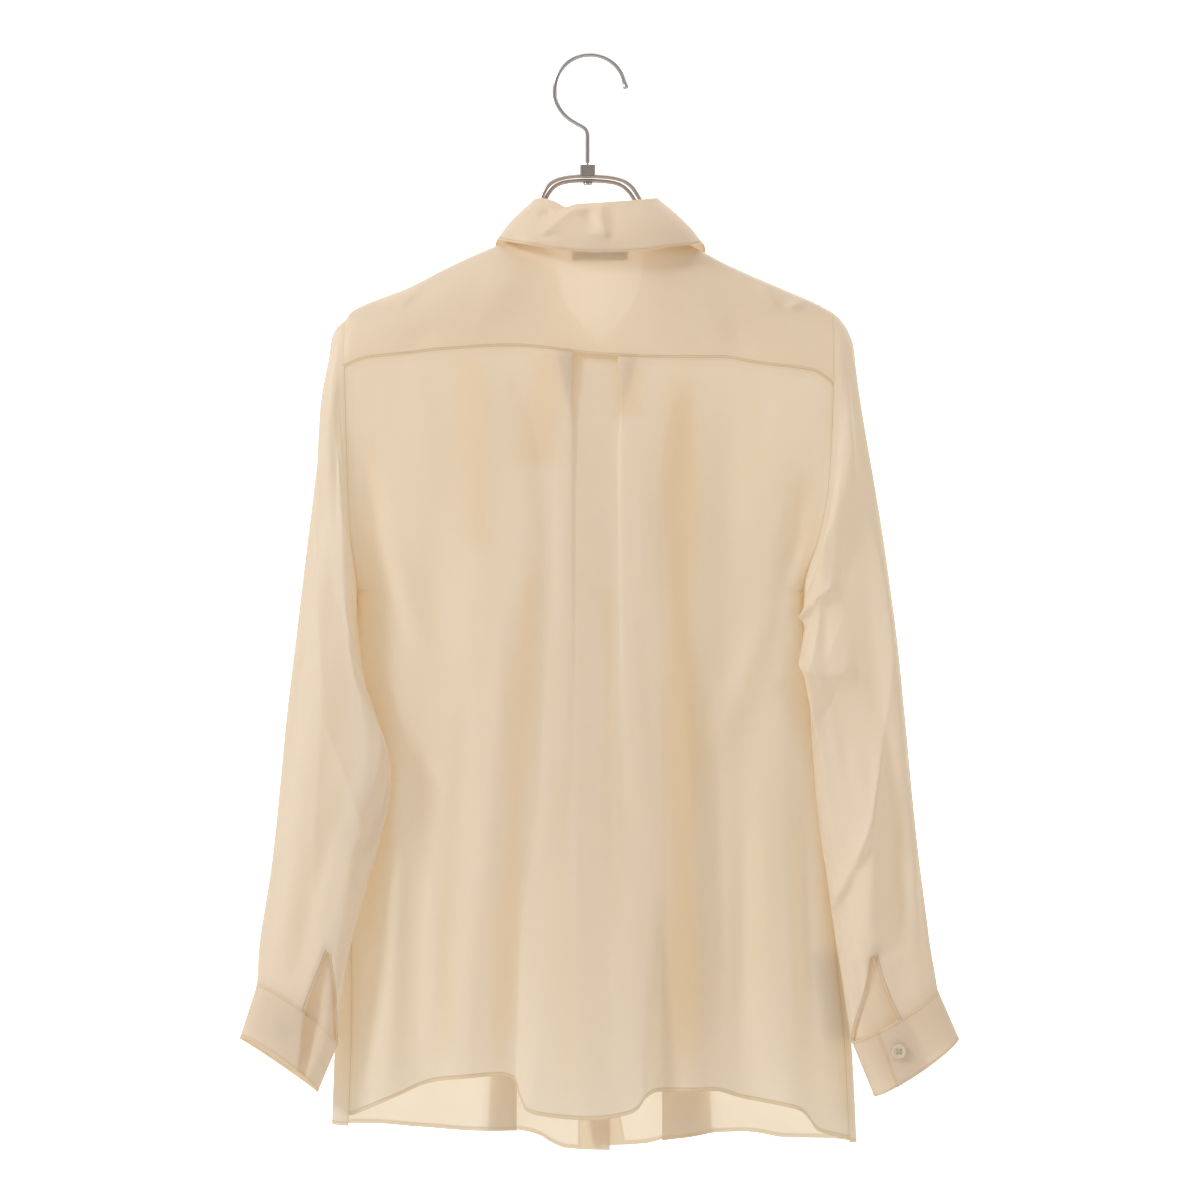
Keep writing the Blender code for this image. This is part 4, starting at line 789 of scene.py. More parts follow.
# Ridges and dimples of the collar's fall at the back, and its two sharper ones.
COLLAR_CREASES = table("x0 down0 x1 down1 width rise",
                       (-42, 129, -29, 127, 5, -1.5), (-4, 124, 3, 142, 5, -1.3),
                       (16, 118, 20, 150, 6, -0.7), (34, 124, 74, 150, 8, 0.8),
                       (-64, 142, -20, 153, 5, 0.7))
COLLAR_RIDGES = (((119, 123, 126, 132, 140, 146), (0, -12, -18, -25, -33, -38), 4, 7, 4.5),
                 ((115, 122, 134, 150), (8.5, 9.5, 11.5, 13), 6, 2.5, 3.5))
ROLL_ROWS = ((0.5, -0.5), (1.4, -0.8), (2.3, -0.4), (2.8, 1.2))    # out from the crest and down
FALL_SWELL = 3.0          # how far the fall swells out half way down


def collar_grid():
    """The collar, over the roll and down to its free edge."""
    station, side = collar_stations(161)
    order = np.arange(9)
    drop = COLLAR_RIGHT_DROP * np.where(side > 0, ease(station / 4), 0)
    width = np.where(side < 0, 0.97, 1.0)
    crest, into, clear = roll_frame(station, side)
    edge_at = place(NECK_X + side * width * curve(station, order, COLLAR_EDGE["reach"]),
                    curve(station, order, COLLAR_EDGE["y"]),
                    curve(station, order, COLLAR_EDGE["down"]) + drop)
    out = unit((edge_at - crest) * (1, 1, 0))
    clear *= np.sign((clear * out).sum(axis=-1, keepdims=True))
    rows = [crest + into * ROLL_INSIDE]
    rows += [crest + clear * reach + into * below for reach, below in ROLL_ROWS]
    outside = rows[-1]
    rows += [mix(outside, edge_at, t) + out * FALL_SWELL * math.sin(math.pi * t)
             for t in np.linspace(0, 1, 25)[1:]]
    points = np.stack(rows)
    x, down = points[..., 0], points[..., 2]
    rise = relief(x, down, COLLAR_CREASES)
    for places, across_at, before, after, height in COLLAR_RIDGES:
        rise += pressed(down / RING_STEP, x, ("number", np.array(places) / RING_STEP, across_at,
                                              before * DEGREE, after * DEGREE, height))
    fade = ease(np.arange(len(rows)) / 8)[:, None] * (points[..., 1] < 0)
    points[..., 1] -= rise * fade
    return points


LABEL_INSIDE = 2.6        # the neck label in front of the back's cloth


def neck_label_grid():
    """A blank label inside the back neck."""
    x = np.linspace(-14, 30, 23)
    down = np.linspace(151, 164, 9)[:, None]
    y = LABEL_INSIDE - back_at(down, down - ridge(x))
    return place(x, y, down)


def care_label_grid():
    """A blank label inside the right side seam."""
    down = np.linspace(716, 786, 29)[:, None]
    inset = np.linspace(1.8, 22.8, 11)
    bend = 1.2 * np.sin((down - 716) / 14) * ease(inset / 20)
    return place(edge_x("right", down) - inset, -0.05 * inset + bend * 0.4, down)


def hook_path():
    """The hook from its tip over the top and down to the block."""
    turns = np.radians(np.linspace(HOOK_TIP, HOOK_END, 24))
    centre_down = HOOK_RADIUS - HOOK_WIRE / 2
    path = [(HOOK_RADIUS * math.cos(a), 0, centre_down - HOOK_RADIUS * math.sin(a)) for a in turns]
    path += HOOK_SHANK
    radii = [HOOK_WIRE / 2] * len(path)
    tip = np.array(path[0])
    lead = (tip - np.array(path[1])) / np.linalg.norm(tip - np.array(path[1]))
    ball = [(tip + lead * reach, size) for reach, size in HOOK_BALL]
    path = [tuple(p) for p, _ in ball] + path[1:] + [(-2.0, 0, 84.9), (-2.0, 0, 87.7)]
    radii = [size for _, size in ball] + radii[1:] + [0.85, 0.85]
    return path, radii


def arm_points(side, wire):
    """One wire of the frame, from the middle of its arch to the tip of an arm."""
    face = -1 if wire == "outer" else 1
    arch = ARCH[side, wire]
    points = [(x, face * y, down) for x, y, down in zip(arch["x"], arch["y"], arch["down"])]
    for x, sag in zip(ARM[side]["x"], ARM[side]["sag"]):
        points.append((x, face * FRAME_SPREAD, float(ridge(x)) + FRAME_BELOW + sag))
    return points


def frame_path():
    """The wire frame as one loop: out along one wire, round each tip and back on the other."""
    def tip(side):
        x, sag = ARM[side]["x"][-1], ARM[side]["sag"][-1]
        sign = -1 if side == "left" else 1
        down = float(ridge(x)) + FRAME_BELOW + sag
        return [(x + sign * FRAME_SPREAD * math.sin(a), -FRAME_SPREAD * math.cos(a),
                 down + 2.2 * math.sin(a)) for a in np.radians((45, 90, 135))]

    right_out, right_back = arm_points("right", "outer"), arm_points("right", "inner")[::-1]
    left_out, left_back = arm_points("left", "inner"), arm_points("left", "outer")[::-1]
    return right_out + tip("right") + right_back + left_out + tip("left")[::-1] + left_back


# ---------------------------------------------------------------- materials
def linear(red, green, blue):
    """A colour given as it looks on a screen, from 0 to 255."""
    return tuple(((c / 255 + 0.055) / 1.055) ** 2.4 if c > 10 else c / 255 / 12.92
                 for c in (red, green, blue))


def times(colour, *parts):
    """A colour times a part for each of red, green and blue."""
    return tuple(c * part for c, part in zip(colour, parts))


class Signal:
    """A number that varies over a surface and takes part in sums."""

    def __init__(self, looks, socket):
        self.looks, self.socket = looks, socket

    def maths(self, operation, first, second=0.0):
        made = self.looks.node("ShaderNodeMath", {"operation": operation}, {0: first, 1: second})
        return Signal(self.looks, made.outputs[0])

    def __add__(self, other):
        return self.maths("ADD", self, other)

    __radd__ = __add__

    def __sub__(self, other):
        return self.maths("SUBTRACT", self, other)

    def __rsub__(self, other):
        return self.maths("SUBTRACT", other, self)

    def __mul__(self, other):
        return self.maths("MULTIPLY", self, other)

    __rmul__ = __mul__

    def larger(self, other):
        return self.maths("MAXIMUM", self, other)

    def below(self, edge, soft):
        """1 where the number is below an edge, 0 above it."""
        made = self.looks.node("ShaderNodeMapRange", {"interpolation_type": "SMOOTHSTEP"},
                               {0: self, 1: edge - soft, 2: edge + soft, 3: 1.0, 4: 0.0})
        return Signal(self.looks, made.outputs[0])


class Looks:
    """A material that is put together node by node."""

    def __init__(self, name):
        self.material = bpy.data.materials.new(name)
        self.material.use_nodes = True
        self.tree = self.material.node_tree
        self.tree.nodes.clear()
        self.output = self.node("ShaderNodeOutputMaterial")

    def node(self, kind, settings=None, sockets=None):
        made = self.tree.nodes.new(kind)
        for name, value in (settings or {}).items():
            setattr(made, name, value)
        for key, value in (sockets or {}).items():
            socket = made.inputs[key]
            if isinstance(value, Signal):
                value = value.socket
            if isinstance(value, bpy.types.NodeSocket):
                self.tree.links.new(value, socket)
            elif socket.type == "RGBA":
                socket.default_value = (*value, 1.0)
            else:
                socket.default_value = value
        return made

    def attribute(self, name):
        return Signal(self, self.node("ShaderNodeAttribute", {"attribute_name": name}).outputs["Fac"])

    def noise(self, scale, detail=2.0, stretch=(1, 1, 1)):
        place_at = self.node("ShaderNodeTexCoord").outputs["Object"]
        sized = self.node("ShaderNodeVectorMath", {"operation": "MULTIPLY"}, {0: place_at, 1: stretch})
        made = self.node("ShaderNodeTexNoise", None,
                         {"Vector": sized.outputs[0], "Scale": scale, "Detail": detail})
        return Signal(self, made.outputs[0])

    def blend(self, part, first, second):
        made = self.node("ShaderNodeMix", {"data_type": "RGBA"}, {0: part, 6: first, 7: second})
        return made.outputs[2]

    def show(self, shader):
        self.tree.links.new(shader.outputs[0], self.output.inputs["Surface"])
        return self.material


def silk(name, colour, lit, plies):
    """Sheer silk: it lets light through, and the doubled places less of it."""
    looks = Looks(name)
    pressed_back = looks.attribute("to_seam").below(ALLOWANCE, 0.5) * ALLOWANCE_SHOWS
    doubled = looks.attribute("to_hem").below(HEM, 0.25).larger(pressed_back)
    mottle = looks.noise(38.0, 3.0, (1, 1, 0.35))
    fibre = looks.noise(900.0, 1.0, (1, 1, 0.2))
    tone = looks.blend(mottle * 0.35, colour, times(colour, 0.93, 0.93, 0.93))
    # Painted shade where folds hang close behind the back's cloth and take its light.
    tone = looks.blend(looks.attribute("painted_fold_shade"), tone, times(colour, *PAINTED_FOLD_SHADE_TONE))
    tone = looks.blend(doubled * DOUBLED[plies], tone, times(colour, *DOUBLED_TONE))
    seam = looks.attribute("to_seam")
    # Painted shade: a thin dark line along the cloth's edges and in each seam's groove, and a fainter shadow
    # line beside the stitches.
    painted_rim_shade = looks.attribute("to_hem").below(0.55, 0.25)
    painted_stitch_shadow = (seam.below(2.1, 0.3) - seam.below(1.2, 0.3)) * 0.3
    painted_line_shade = painted_rim_shade * PAINTED_RIM_SHADE[plies] + seam.below(0.5, 0.3) + painted_stitch_shadow
    tone = looks.blend(painted_line_shade * 0.6, tone, times(colour, *PAINTED_LINE_SHADE_TONE))
    bump = looks.node("ShaderNodeBump", None,
                      {"Strength": 0.10, "Distance": 0.0004, "Height": mottle + fibre * 0.3})
    body = looks.node("ShaderNodeBsdfPrincipled", None,
                      {"Base Color": tone, "Roughness": SILK_ROUGHNESS, "Specular IOR Level": 0.42,
                       "Sheen Weight": 0.12, "Sheen Roughness": 0.4, "Normal": bump.outputs[0]})
    through = looks.node("ShaderNodeBsdfTranslucent", None, {"Color": lit, "Normal": bump.outputs[0]})
    woven = looks.node("ShaderNodeMixShader", None,
                       {0: THROUGH[plies], 1: body.outputs[0], 2: through.outputs[0]})
    clear = looks.node("ShaderNodeBsdfTransparent", None, {"Color": (1.0, 0.985, 0.96)})
    cover = doubled * (OPAQUE[plies + 1] - OPAQUE[plies]) + OPAQUE[plies]
    return looks.show(looks.node("ShaderNodeMixShader", None,
                                 {0: cover, 1: clear.outputs[0], 2: woven.outputs[0]}))


def plain(name, colour, roughness, grain=(400.0, 0.00004, 0.92), metallic=0.0, specular=0.5, coat=0.0):
    """A plain finish with a grain: its scale, its depth in metres and its darker tint."""
    looks = Looks(name)
    scale, depth_of, tint = grain
    noise = looks.noise(scale, 2.0)
    tone = looks.blend(noise, colour, times(colour, tint, tint, tint))
    bump = looks.node("ShaderNodeBump", None, {"Strength": 0.25, "Distance": depth_of, "Height": noise})
    return looks.show(looks.node("ShaderNodeBsdfPrincipled", None,
                                 {"Base Color": tone, "Roughness": roughness, "Metallic": metallic,
                                  "Specular IOR Level": specular, "Coat Weight": coat,
                                  "Coat Roughness": 0.1, "Normal": bump.outputs[0]}))


def paper(glow):
    """White paper that is lit from behind where it stands as a backdrop."""
    looks = Looks("studio_paper")
    place_at = looks.node("ShaderNodeTexCoord").outputs["Object"]
    away = Signal(looks, looks.node("ShaderNodeSeparateXYZ", None, {0: place_at}).outputs["Y"])
    back = 1.0 - away.below(3.0, 1.5)
    grain = looks.noise(3.0)
    tone = looks.blend(grain * 0.3, (0.90, 0.90, 0.90), (0.88, 0.88, 0.88))
    lit = looks.blend(back, (0.0, 0.0, 0.0), (1.0, 1.0, 1.0))
    return looks.show(looks.node("ShaderNodeBsdfPrincipled", None,
                                 {"Base Color": tone, "Roughness": 0.9, "Specular IOR Level": 0.1,
                                  "Emission Color": lit, "Emission Strength": glow}))


SILK_ROUGHNESS = 0.46
# By the number of plies: the share of light that the cloth lets through, the share of its
# surface that is thread and not gaps, how much its hems deepen the tone, and how strongly painted shade
# darkens its edges.
THROUGH = {1: 0.40, 2: 0.36}
OPAQUE = {1: 0.92, 2: 0.97, 3: 0.985}
DOUBLED = {1: 0.75, 2: 0.25}
PAINTED_RIM_SHADE = {1: 0.7, 2: 0.35}
ALLOWANCE_SHOWS = 0.22    # how much a pressed allowance does
# The colour that the painted shade of the back's folds darkens towards.
PAINTED_FOLD_SHADE_TONE = (0.93, 0.83, 0.68)
DOUBLED_TONE = (0.80, 0.72, 0.60)
# The colour that the painted shade of edges, seams and stitch lines darkens towards.
PAINTED_LINE_SHADE_TONE = (0.52, 0.42, 0.30)

SILK = silk("silk_sheer", (0.89, 0.845, 0.75), (0.90, 0.70, 0.43), 1)
SILK_TWO = silk("silk_two_ply", (0.885, 0.80, 0.655), (0.82, 0.575, 0.31), 2)
SATIN = plain("label_satin_plain", linear(226, 220, 206), 0.5, (900.0, 0.0001, 0.9))
PEARL = plain("pearl_buttons", linear(222, 208, 182), 0.22, (140.0, 0.00002, 0.9), specular=0.6, coat=0.4)
SILK_THREAD = plain("sewing_thread", linear(216, 198, 168), 0.6)
STEEL = plain("steel_plated", linear(196, 190, 187), 0.30, (60.0, 0.00001, 0.94), metallic=1.0)
PAPER = paper(0.9)
# A warmer, lighter steel for the frame and the block: its tint is a painted reflection of the silk round the
# hanger.
STEEL_PAINTED_WARM = plain("steel_painted_warm", linear(202, 190, 182), 0.34, (80.0, 0.00001, 0.9), metallic=1.0)


# ---------------------------------------------------------------- making pieces
TO_SIGN = np.array([1.0, 1.0, -1.0])
TO_METRES = MM * TO_SIGN


def in_scene(name, data):
    """An object that shows some data in the scene."""
    made = bpy.data.objects.new(name, data)
    bpy.context.scene.collection.objects.link(made)
    return made


def seen(made):
    """The mesh of an object as its modifiers leave it."""
    bpy.context.view_layer.update()
    return bpy.data.meshes.new_from_object(made.evaluated_get(bpy.context.evaluated_depsgraph_get()))


def skin(bm, rings, loop=False):
    """Faces from each ring of points to the next."""
    count = len(rings[0])
    for k in range(len(rings) if loop else len(rings) - 1):
        here, there = rings[k], rings[(k + 1) % len(rings)]
        for s in range(count):
            bm.faces.new((here[s], here[(s + 1) % count], there[(s + 1) % count], there[s]))


def new_piece(name, mesh, slot, *nodes):
    """An object of the blouse that rides on its one body."""
    mesh.name = name
    piece = in_scene(name, mesh)
    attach(piece, "root")
    if nodes:
        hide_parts(*nodes)
    return piece


def stitch_tree():
    """Short threads laid along lines, one for each stitch."""
    tree = bpy.data.node_groups.new("sewn_line", "GeometryNodeTree")
    for name, kind in (("Lines", "Geometry"), ("Stitch", "Float"), ("Thread", "Float"),
                       ("Material", "Material")):
        tree.interface.new_socket(name, in_out="INPUT", socket_type="NodeSocket" + kind)
    tree.interface.new_socket("Sewing", in_out="OUTPUT", socket_type="NodeSocketGeometry")

    def node(kind, settings=None, **values):
        made = tree.nodes.new(kind)
        for key, value in (settings or {}).items():
            setattr(made, key, value)
        for key, value in values.items():
            socket = made.inputs[key.replace("_", " ")]
            if isinstance(value, bpy.types.NodeSocket):
                tree.links.new(value, socket)
            else:
                socket.default_value = value
        return made

    given = tree.nodes.new("NodeGroupInput").outputs
    length = node("ShaderNodeMath", {"operation": "MULTIPLY"})
    tree.links.new(given["Stitch"], length.inputs[0])
    length.inputs[1].default_value = STITCH_SHOWS
    lines = node("GeometryNodeMeshToCurve", Mesh=given["Lines"])
    spaced = node("GeometryNodeResampleCurve", {"mode": "LENGTH"}, Curve=lines.outputs[0],
                  Length=given["Stitch"])
    thread = node("GeometryNodeMeshCylinder", None, Vertices=5, Radius=given["Thread"],
                  Depth=length.outputs[0])
    tangent = node("GeometryNodeInputTangent")
    turned = node("FunctionNodeAlignRotationToVector", {"axis": "Z"}, Vector=tangent.outputs[0])
    laid = node("GeometryNodeInstanceOnPoints", None, Points=spaced.outputs[0],
                Instance=thread.outputs[0], Rotation=turned.outputs[0])
    real = node("GeometryNodeRealizeInstances", None, Geometry=laid.outputs[0])
    dressed = node("GeometryNodeSetMaterial", None, Geometry=real.outputs[0], Material=given["Material"])
    tree.links.new(dressed.outputs[0], tree.nodes.new("NodeGroupOutput").inputs[0])
    return tree


def sew(name, lines, stitch=STITCH, thread=THREAD):
    """Stitches along some lines, as one piece."""
    mesh = bpy.data.meshes.new(name + "_lines")
    verts, edges = [], []
    for line in lines:
        first = len(verts)
        verts += (np.array(line) * TO_METRES).tolist()
        edges += [(k, k + 1) for k in range(first, len(verts) - 1)]
    mesh.from_pydata(verts, edges, [])
    guide = in_scene(name + "_lines", mesh)
    modifier = guide.modifiers.new("sewing", "NODES")
    modifier.node_group = SEWN_LINE
    wanted = {"Stitch": stitch * MM, "Thread": thread * MM, "Material": SILK_THREAD}
    for item in SEWN_LINE.interface.items_tree:
        if item.name in wanted:
            modifier[item.identifier] = wanted[item.name]
    made = seen(guide)
    made.name = name
    guide.modifiers.clear()
    bpy.data.objects.remove(guide, do_unlink=True)
    made.shade_smooth()
    return new_piece(name, made, "silk")


# ---------------------------------------------------------------- hanger
def closed_loop(points, per):
    """A rounder closed line through points."""
    points = np.array(points, float)
    count = len(points)
    spots = []
    for k in range(count):
        before, here, there, after = (points[(k + j) % count] for j in (-1, 0, 1, 2))
        for f in np.arange(per) / per:
            spots.append(0.5 * (2 * here + (there - before) * f
                                + (2 * before - 5 * here + 4 * there - after) * f * f
                                + (3 * here - before - 3 * there + after) * f ** 3))
    return np.array(spots)


def wire(name, path, radii, material, sides, loop=False):
    """A smooth round wire along a path."""
    path = np.array(path, float)
    ahead = np.roll(path, -1, axis=0) - np.roll(path, 1, axis=0)
    if not loop:
        ahead[0], ahead[-1] = path[1] - path[0], path[-1] - path[-2]
    ahead = unit(ahead)
    side = np.empty_like(ahead)
    side[0] = np.cross(ahead[0], (0.0, 1.0, 0.0))
    for k in range(1, len(path)):
        side[k] = side[k - 1] - ahead[k] * (side[k - 1] @ ahead[k])
        side[k] /= np.linalg.norm(side[k])
    side[0] /= np.linalg.norm(side[0])
    twist = 0.0
    if loop:
        last = side[-1] - ahead[0] * (side[-1] @ ahead[0])
        twist = math.atan2(np.cross(last, side[0]) @ ahead[0], last @ side[0])
    up = np.cross(ahead, side)
    angle = np.arange(sides) * 2 * math.pi / sides + twist * np.arange(len(path))[:, None] / len(path)
    radii = np.broadcast_to(radii, len(path))[:, None, None]
    out = side[:, None] * np.cos(angle)[..., None] + up[:, None] * np.sin(angle)[..., None]
    rings = path[:, None] + out * radii
    bm = bmesh.new()
    made = [[bm.verts.new(spot) for spot in ring_spots] for ring_spots in (rings * TO_METRES).tolist()]
    skin(bm, made, loop)
    if not loop:
        bm.faces.new(made[0])
        bm.faces.new(made[-1][::-1])
    return finished(name, bm, material)


def finished(name, bm, material, crisp=None):
    """A mesh out of a bmesh, with its faces pointing outwards."""
    bmesh.ops.recalc_face_normals(bm, faces=bm.faces[:])
    mesh = bpy.data.meshes.new(name)
    bm.to_mesh(mesh)
    bm.free()
    mesh.shade_smooth()
    if crisp:
        mesh.set_sharp_from_angle(angle=math.radians(crisp))
    mesh.materials.append(material)
    return mesh


def soft_block(name, low, high, radius, material):
    """A block between two corners, with rounded edges."""
    bm = bmesh.new()
    bmesh.ops.create_cube(bm, size=1.0)
    for vert in bm.verts:
        vert.co = Vector(mix(low[k], high[k], vert.co[k] + 0.5) * TO_METRES[k] for k in range(3))
    bmesh.ops.bevel(bm, geom=bm.edges[:], offset=radius * MM, segments=4, profile=0.5, affect="EDGES")
    return finished(name, bm, material, 40)


def turned(name, middle, profile, material):
    """A round piece about an upright line, from reach and height of its profile."""
    bm = bmesh.new()
    rings = []
    for reach, down in profile:
        spots = [(middle[0] + reach * math.cos(a), middle[1] + reach * math.sin(a), down)
                 for a in np.arange(32) * 2 * math.pi / 32]
        rings.append([bm.verts.new(Vector(np.array(spot) * TO_METRES)) for spot in spots])
    skin(bm, rings)
    bm.faces.new(rings[0])
    bm.faces.new(rings[-1])
    return finished(name, bm, material, 40)


def hang_up():
    """The hook, the block that it stands in, its rivet and the bent wire frame."""
    path, radii = hook_path()
    fine = np.linspace(0, len(path) - 1, 4 * (len(path) - 1) + 1)
    order = np.arange(len(path))
    path = np.stack([curve(fine, order, column) for column in np.array(path).T], axis=-1)
    radii = curve(fine, order, radii)
    loop = closed_loop(frame_path(), 4)
    for name, mesh, node in (
            ("hook_wire", wire("hook_wire", path, radii, STEEL, 24), "hanger_hook"),
            ("hook_block", soft_block("hook_block", *BLOCK, BLOCK_ROUND, STEEL_PAINTED_WARM), "hanger_block"),
            ("hook_rivet", turned("hook_rivet", RIVET_AT, RIVET_PROFILE, STEEL), "hanger_rivet"),
            ("hanger_wires", wire("hanger_wires", loop, FRAME_WIRE / 2, STEEL_PAINTED_WARM, 16, True),
             "hanger_frame")):
        new_piece(name, mesh, "bright_steel", node)


# ---------------------------------------------------------------- buttons
BUTTON_PROFILE = ((0.86, 0.0), (0.95, 0.08), (1.0, 0.3), (1.0, 0.62), (0.96, 0.86), (0.88, 0.99),
                  (0.79, 0.98), (0.7, 0.86), (0.62, 0.74), (0.5, 0.68))
BUTTON_HOLE = 0.85        # radius of a hole
HOLE_REACH = 1.45         # each way from the button's middle
# The thread over a button, from hole to hole: how far along, and how high.
THREAD_OVER = ((-1, -1.0), (-1, 1.55), (-0.7, 1.75), (0, 1.85), (0.7, 1.75), (1, 1.55), (1, -1.0))


def button_form():
    """A dished button with four holes, its back at the origin and its face along z."""
    bm = bmesh.new()
    rings = []
    for reach, rise in BUTTON_PROFILE:
        spots = [(reach * BUTTON_ACROSS / 2 * math.cos(a), reach * BUTTON_ACROSS / 2 * math.sin(a),
                  rise * BUTTON_THICK) for a in np.arange(48) * 2 * math.pi / 48]
        rings.append([bm.verts.new(Vector(spot) * MM) for spot in spots])
    skin(bm, rings)
    bm.faces.new(rings[0])
    bm.faces.new(rings[-1])
    form = in_scene("button_form", finished("button_form", bm, PEARL))
    pins = bmesh.new()
    for x in (-HOLE_REACH, HOLE_REACH):
        for y in (-HOLE_REACH, HOLE_REACH):
            at = Matrix.Translation(Vector((x, y, BUTTON_THICK / 2)) * MM)
            bmesh.ops.create_cone(pins, cap_ends=True, segments=14, radius1=BUTTON_HOLE * MM,
                                  radius2=BUTTON_HOLE * MM, depth=8 * MM, matrix=at)
    cutter = in_scene("button_pins", finished("button_pins", pins, PEARL))
    cut = form.modifiers.new("holes", "BOOLEAN")
    cut.operation, cut.object, cut.solver = "DIFFERENCE", cutter, "EXACT"
    mesh = seen(form)
    for made in (form, cutter):
        bpy.data.objects.remove(made, do_unlink=True)
    mesh.shade_smooth()
    mesh.set_sharp_from_angle(angle=math.radians(38))
    return mesh


def button_spots():
    """Where each button lies, the way its face looks, and the CAD solid it stands for."""
    spots = []
    for side in ("left", "right"):
        angle, part = CUFF_BUTTON[side]
        angle += 360 if side == "right" else 0
        at = cuff_ring(side, np.array([[angle, angle + 4], [angle, angle + 4]]),
                       np.array([[part, part], [part + 0.05, part + 0.05]]))
        facing = unit(np.cross(at[0, 1] - at[0, 0], at[1, 0] - at[0, 0]))
        facing = facing if facing[1] < 0 else -facing
        spots.append((f"cuff_button_{side}", at[0, 0] + facing * CUFF_STAND, facing))
    for number, down in enumerate(FRONT_BUTTON_DOWN, 1):
        x, height = np.array([FRONT_BUTTON_X]), np.array([down])
        y = depth(x, height, "front", angle_at(x, height))[0] + BAND_LAP + BAND_STAND
        centre = np.array([FRONT_BUTTON_X, y, down])
        spots.append((f"front_button_{number}", centre, np.array([0.0, 1.0, 0.0])))
    return spots


def sew_buttons():
    """Every button, and the thread through its holes."""
    form = button_form()
    threads = []
    for node, centre, facing in button_spots():
        side = unit(np.cross(facing, (0.0, 0.0, 1.0)))
        up = np.cross(side, facing)
        turn = Matrix([[*(side * TO_SIGN)], [*(up * TO_SIGN)], [*(facing * TO_SIGN)]]).transposed()
        mesh = form.copy()
        mesh.transform(Matrix.Translation(Vector(centre * TO_METRES)) @ turn.to_4x4())
        new_piece(node.replace("button", "pearl_button"), mesh, "button_pearl", node)
        for a, b in ((1, 1), (1, -1)):
            along = side * a + up * b
            line = [centre + along * HOLE_REACH * t + facing * lift for t, lift in THREAD_OVER]
            threads += [np.array(line) + up * shift for shift in (-0.18, 0.18)]
    return threads


def outward(points, about=None, closed_rows=0):
    """A grid's normals, turned to look away from the garment's inside."""
    about = points.mean(axis=1, keepdims=True) if about is None else np.array(about, float)
    facing = normals(points, closed_rows)
    return facing if (facing * (points - about)).sum(axis=-1).mean() > 0 else -facing


def cloth(node, points, material, slot, about=None, hems=(), seams=(), keep=None, closed_rows=0):
    """A sheet of cloth on a grid, with its distances to hems and seams."""
    rows, columns = points.shape[:2]
    index = np.arange(rows * columns).reshape(rows, columns)
    corners = np.stack([index[:-1, :-1], index[1:, :-1], index[1:, 1:], index[:-1, 1:]], axis=-1)
    faces = corners.reshape(-1, 4) if keep is None else corners[keep]
    facing = outward(points, about, closed_rows)
    if (facing * normals(points, closed_rows)).sum() < 0:
        faces = faces[:, ::-1]
    name = node + "_cloth"
    mesh = bpy.data.meshes.new(name)
    mesh.from_pydata((points.reshape(-1, 3) * TO_METRES).tolist(), [], faces.tolist())
    # The last attribute carries the painted shade of the back's folds.
    shades = {"to_hem": from_edges(points, hems, closed_rows),
              "to_seam": from_edges(points, seams, closed_rows),
              "painted_fold_shade": painted_shade_at(points[..., 0], points[..., 2]) * (node == "back_panel")}
    for label, values in shades.items():
        values = values.astype(np.float32).ravel()
        mesh.attributes.new(label, "FLOAT", "POINT").data.foreach_set("value", values)
    flat = np.stack(np.meshgrid(np.linspace(0, 1, columns), np.linspace(1, 0, rows)), axis=-1).reshape(-1, 2)
    corner_of = np.empty(len(mesh.loops), np.int32)
    mesh.loops.foreach_get("vertex_index", corner_of)
    mesh.uv_layers.new(name="cloth").data.foreach_set("uv", flat[corner_of].astype(np.float32).ravel())
    bm = bmesh.new()
    bm.from_mesh(mesh)
    bmesh.ops.delete(bm, geom=[vert for vert in bm.verts if not vert.link_faces], context="VERTS")
    if closed_rows:
        bmesh.ops.remove_doubles(bm, verts=bm.verts[:], dist=2e-6)
    bm.to_mesh(mesh)
    bm.free()
    mesh.shade_smooth()
    mesh.materials.append(material)
    piece = new_piece(name, mesh, slot, *([node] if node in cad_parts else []))
    return piece


def run(points, axis):
    """How far each point lies over the cloth from the grid's first row or column."""
    steps = np.cumsum(np.linalg.norm(np.diff(points, axis=axis), axis=-1), axis=axis)
    return np.pad(steps, ((1, 0), (0, 0)) if axis == 0 else ((0, 0), (1, 0)))


def from_edges(points, sides, first_row=0):
    """Each point's distance over the cloth to the nearest of some sides of its grid."""
    far = np.full(points.shape[:2], 1e3)
    down, over = run(points, 0), run(points, 1)
    reach = {"top": down, "bottom": down[-1:] - down, "left": over, "right": over[:, -1:] - over}
    for side in sides:
        at = reach[side].copy()
        if side in ("left", "right"):
            at[:max(first_row - 1, 0)] = 1e3
        far = np.minimum(far, at)
    return far


def along_edge(points, side, inset, about=None, start=0.0, end=1.0):
    """A line over a grid at a distance from one of its sides, lifted off its outer face."""
    facing = outward(points, about)
    if side in ("left", "right"):
        points, facing = points.swapaxes(0, 1), facing.swapaxes(0, 1)
    if side in ("bottom", "right"):
        points, facing = points[::-1], facing[::-1]
    reach = run(points, 0)
    last = points.shape[1] - 1
    line = []
    for k in range(round(start * last), round(end * last) + 1):
        row = int(np.clip(np.searchsorted(reach[:, k], inset), 1, len(reach) - 1))
        part = (inset - reach[row - 1, k]) / max(reach[row, k] - reach[row - 1, k], 1e-6)
        line.append(mix(points[row - 1, k], points[row, k], min(part, 1.0))
                    + facing[row, k] * THREAD_LIES)
    return np.array(line)


INSIDE = (0.0, 0.0, 420.0)        # a place inside the body, which its cloth faces away from


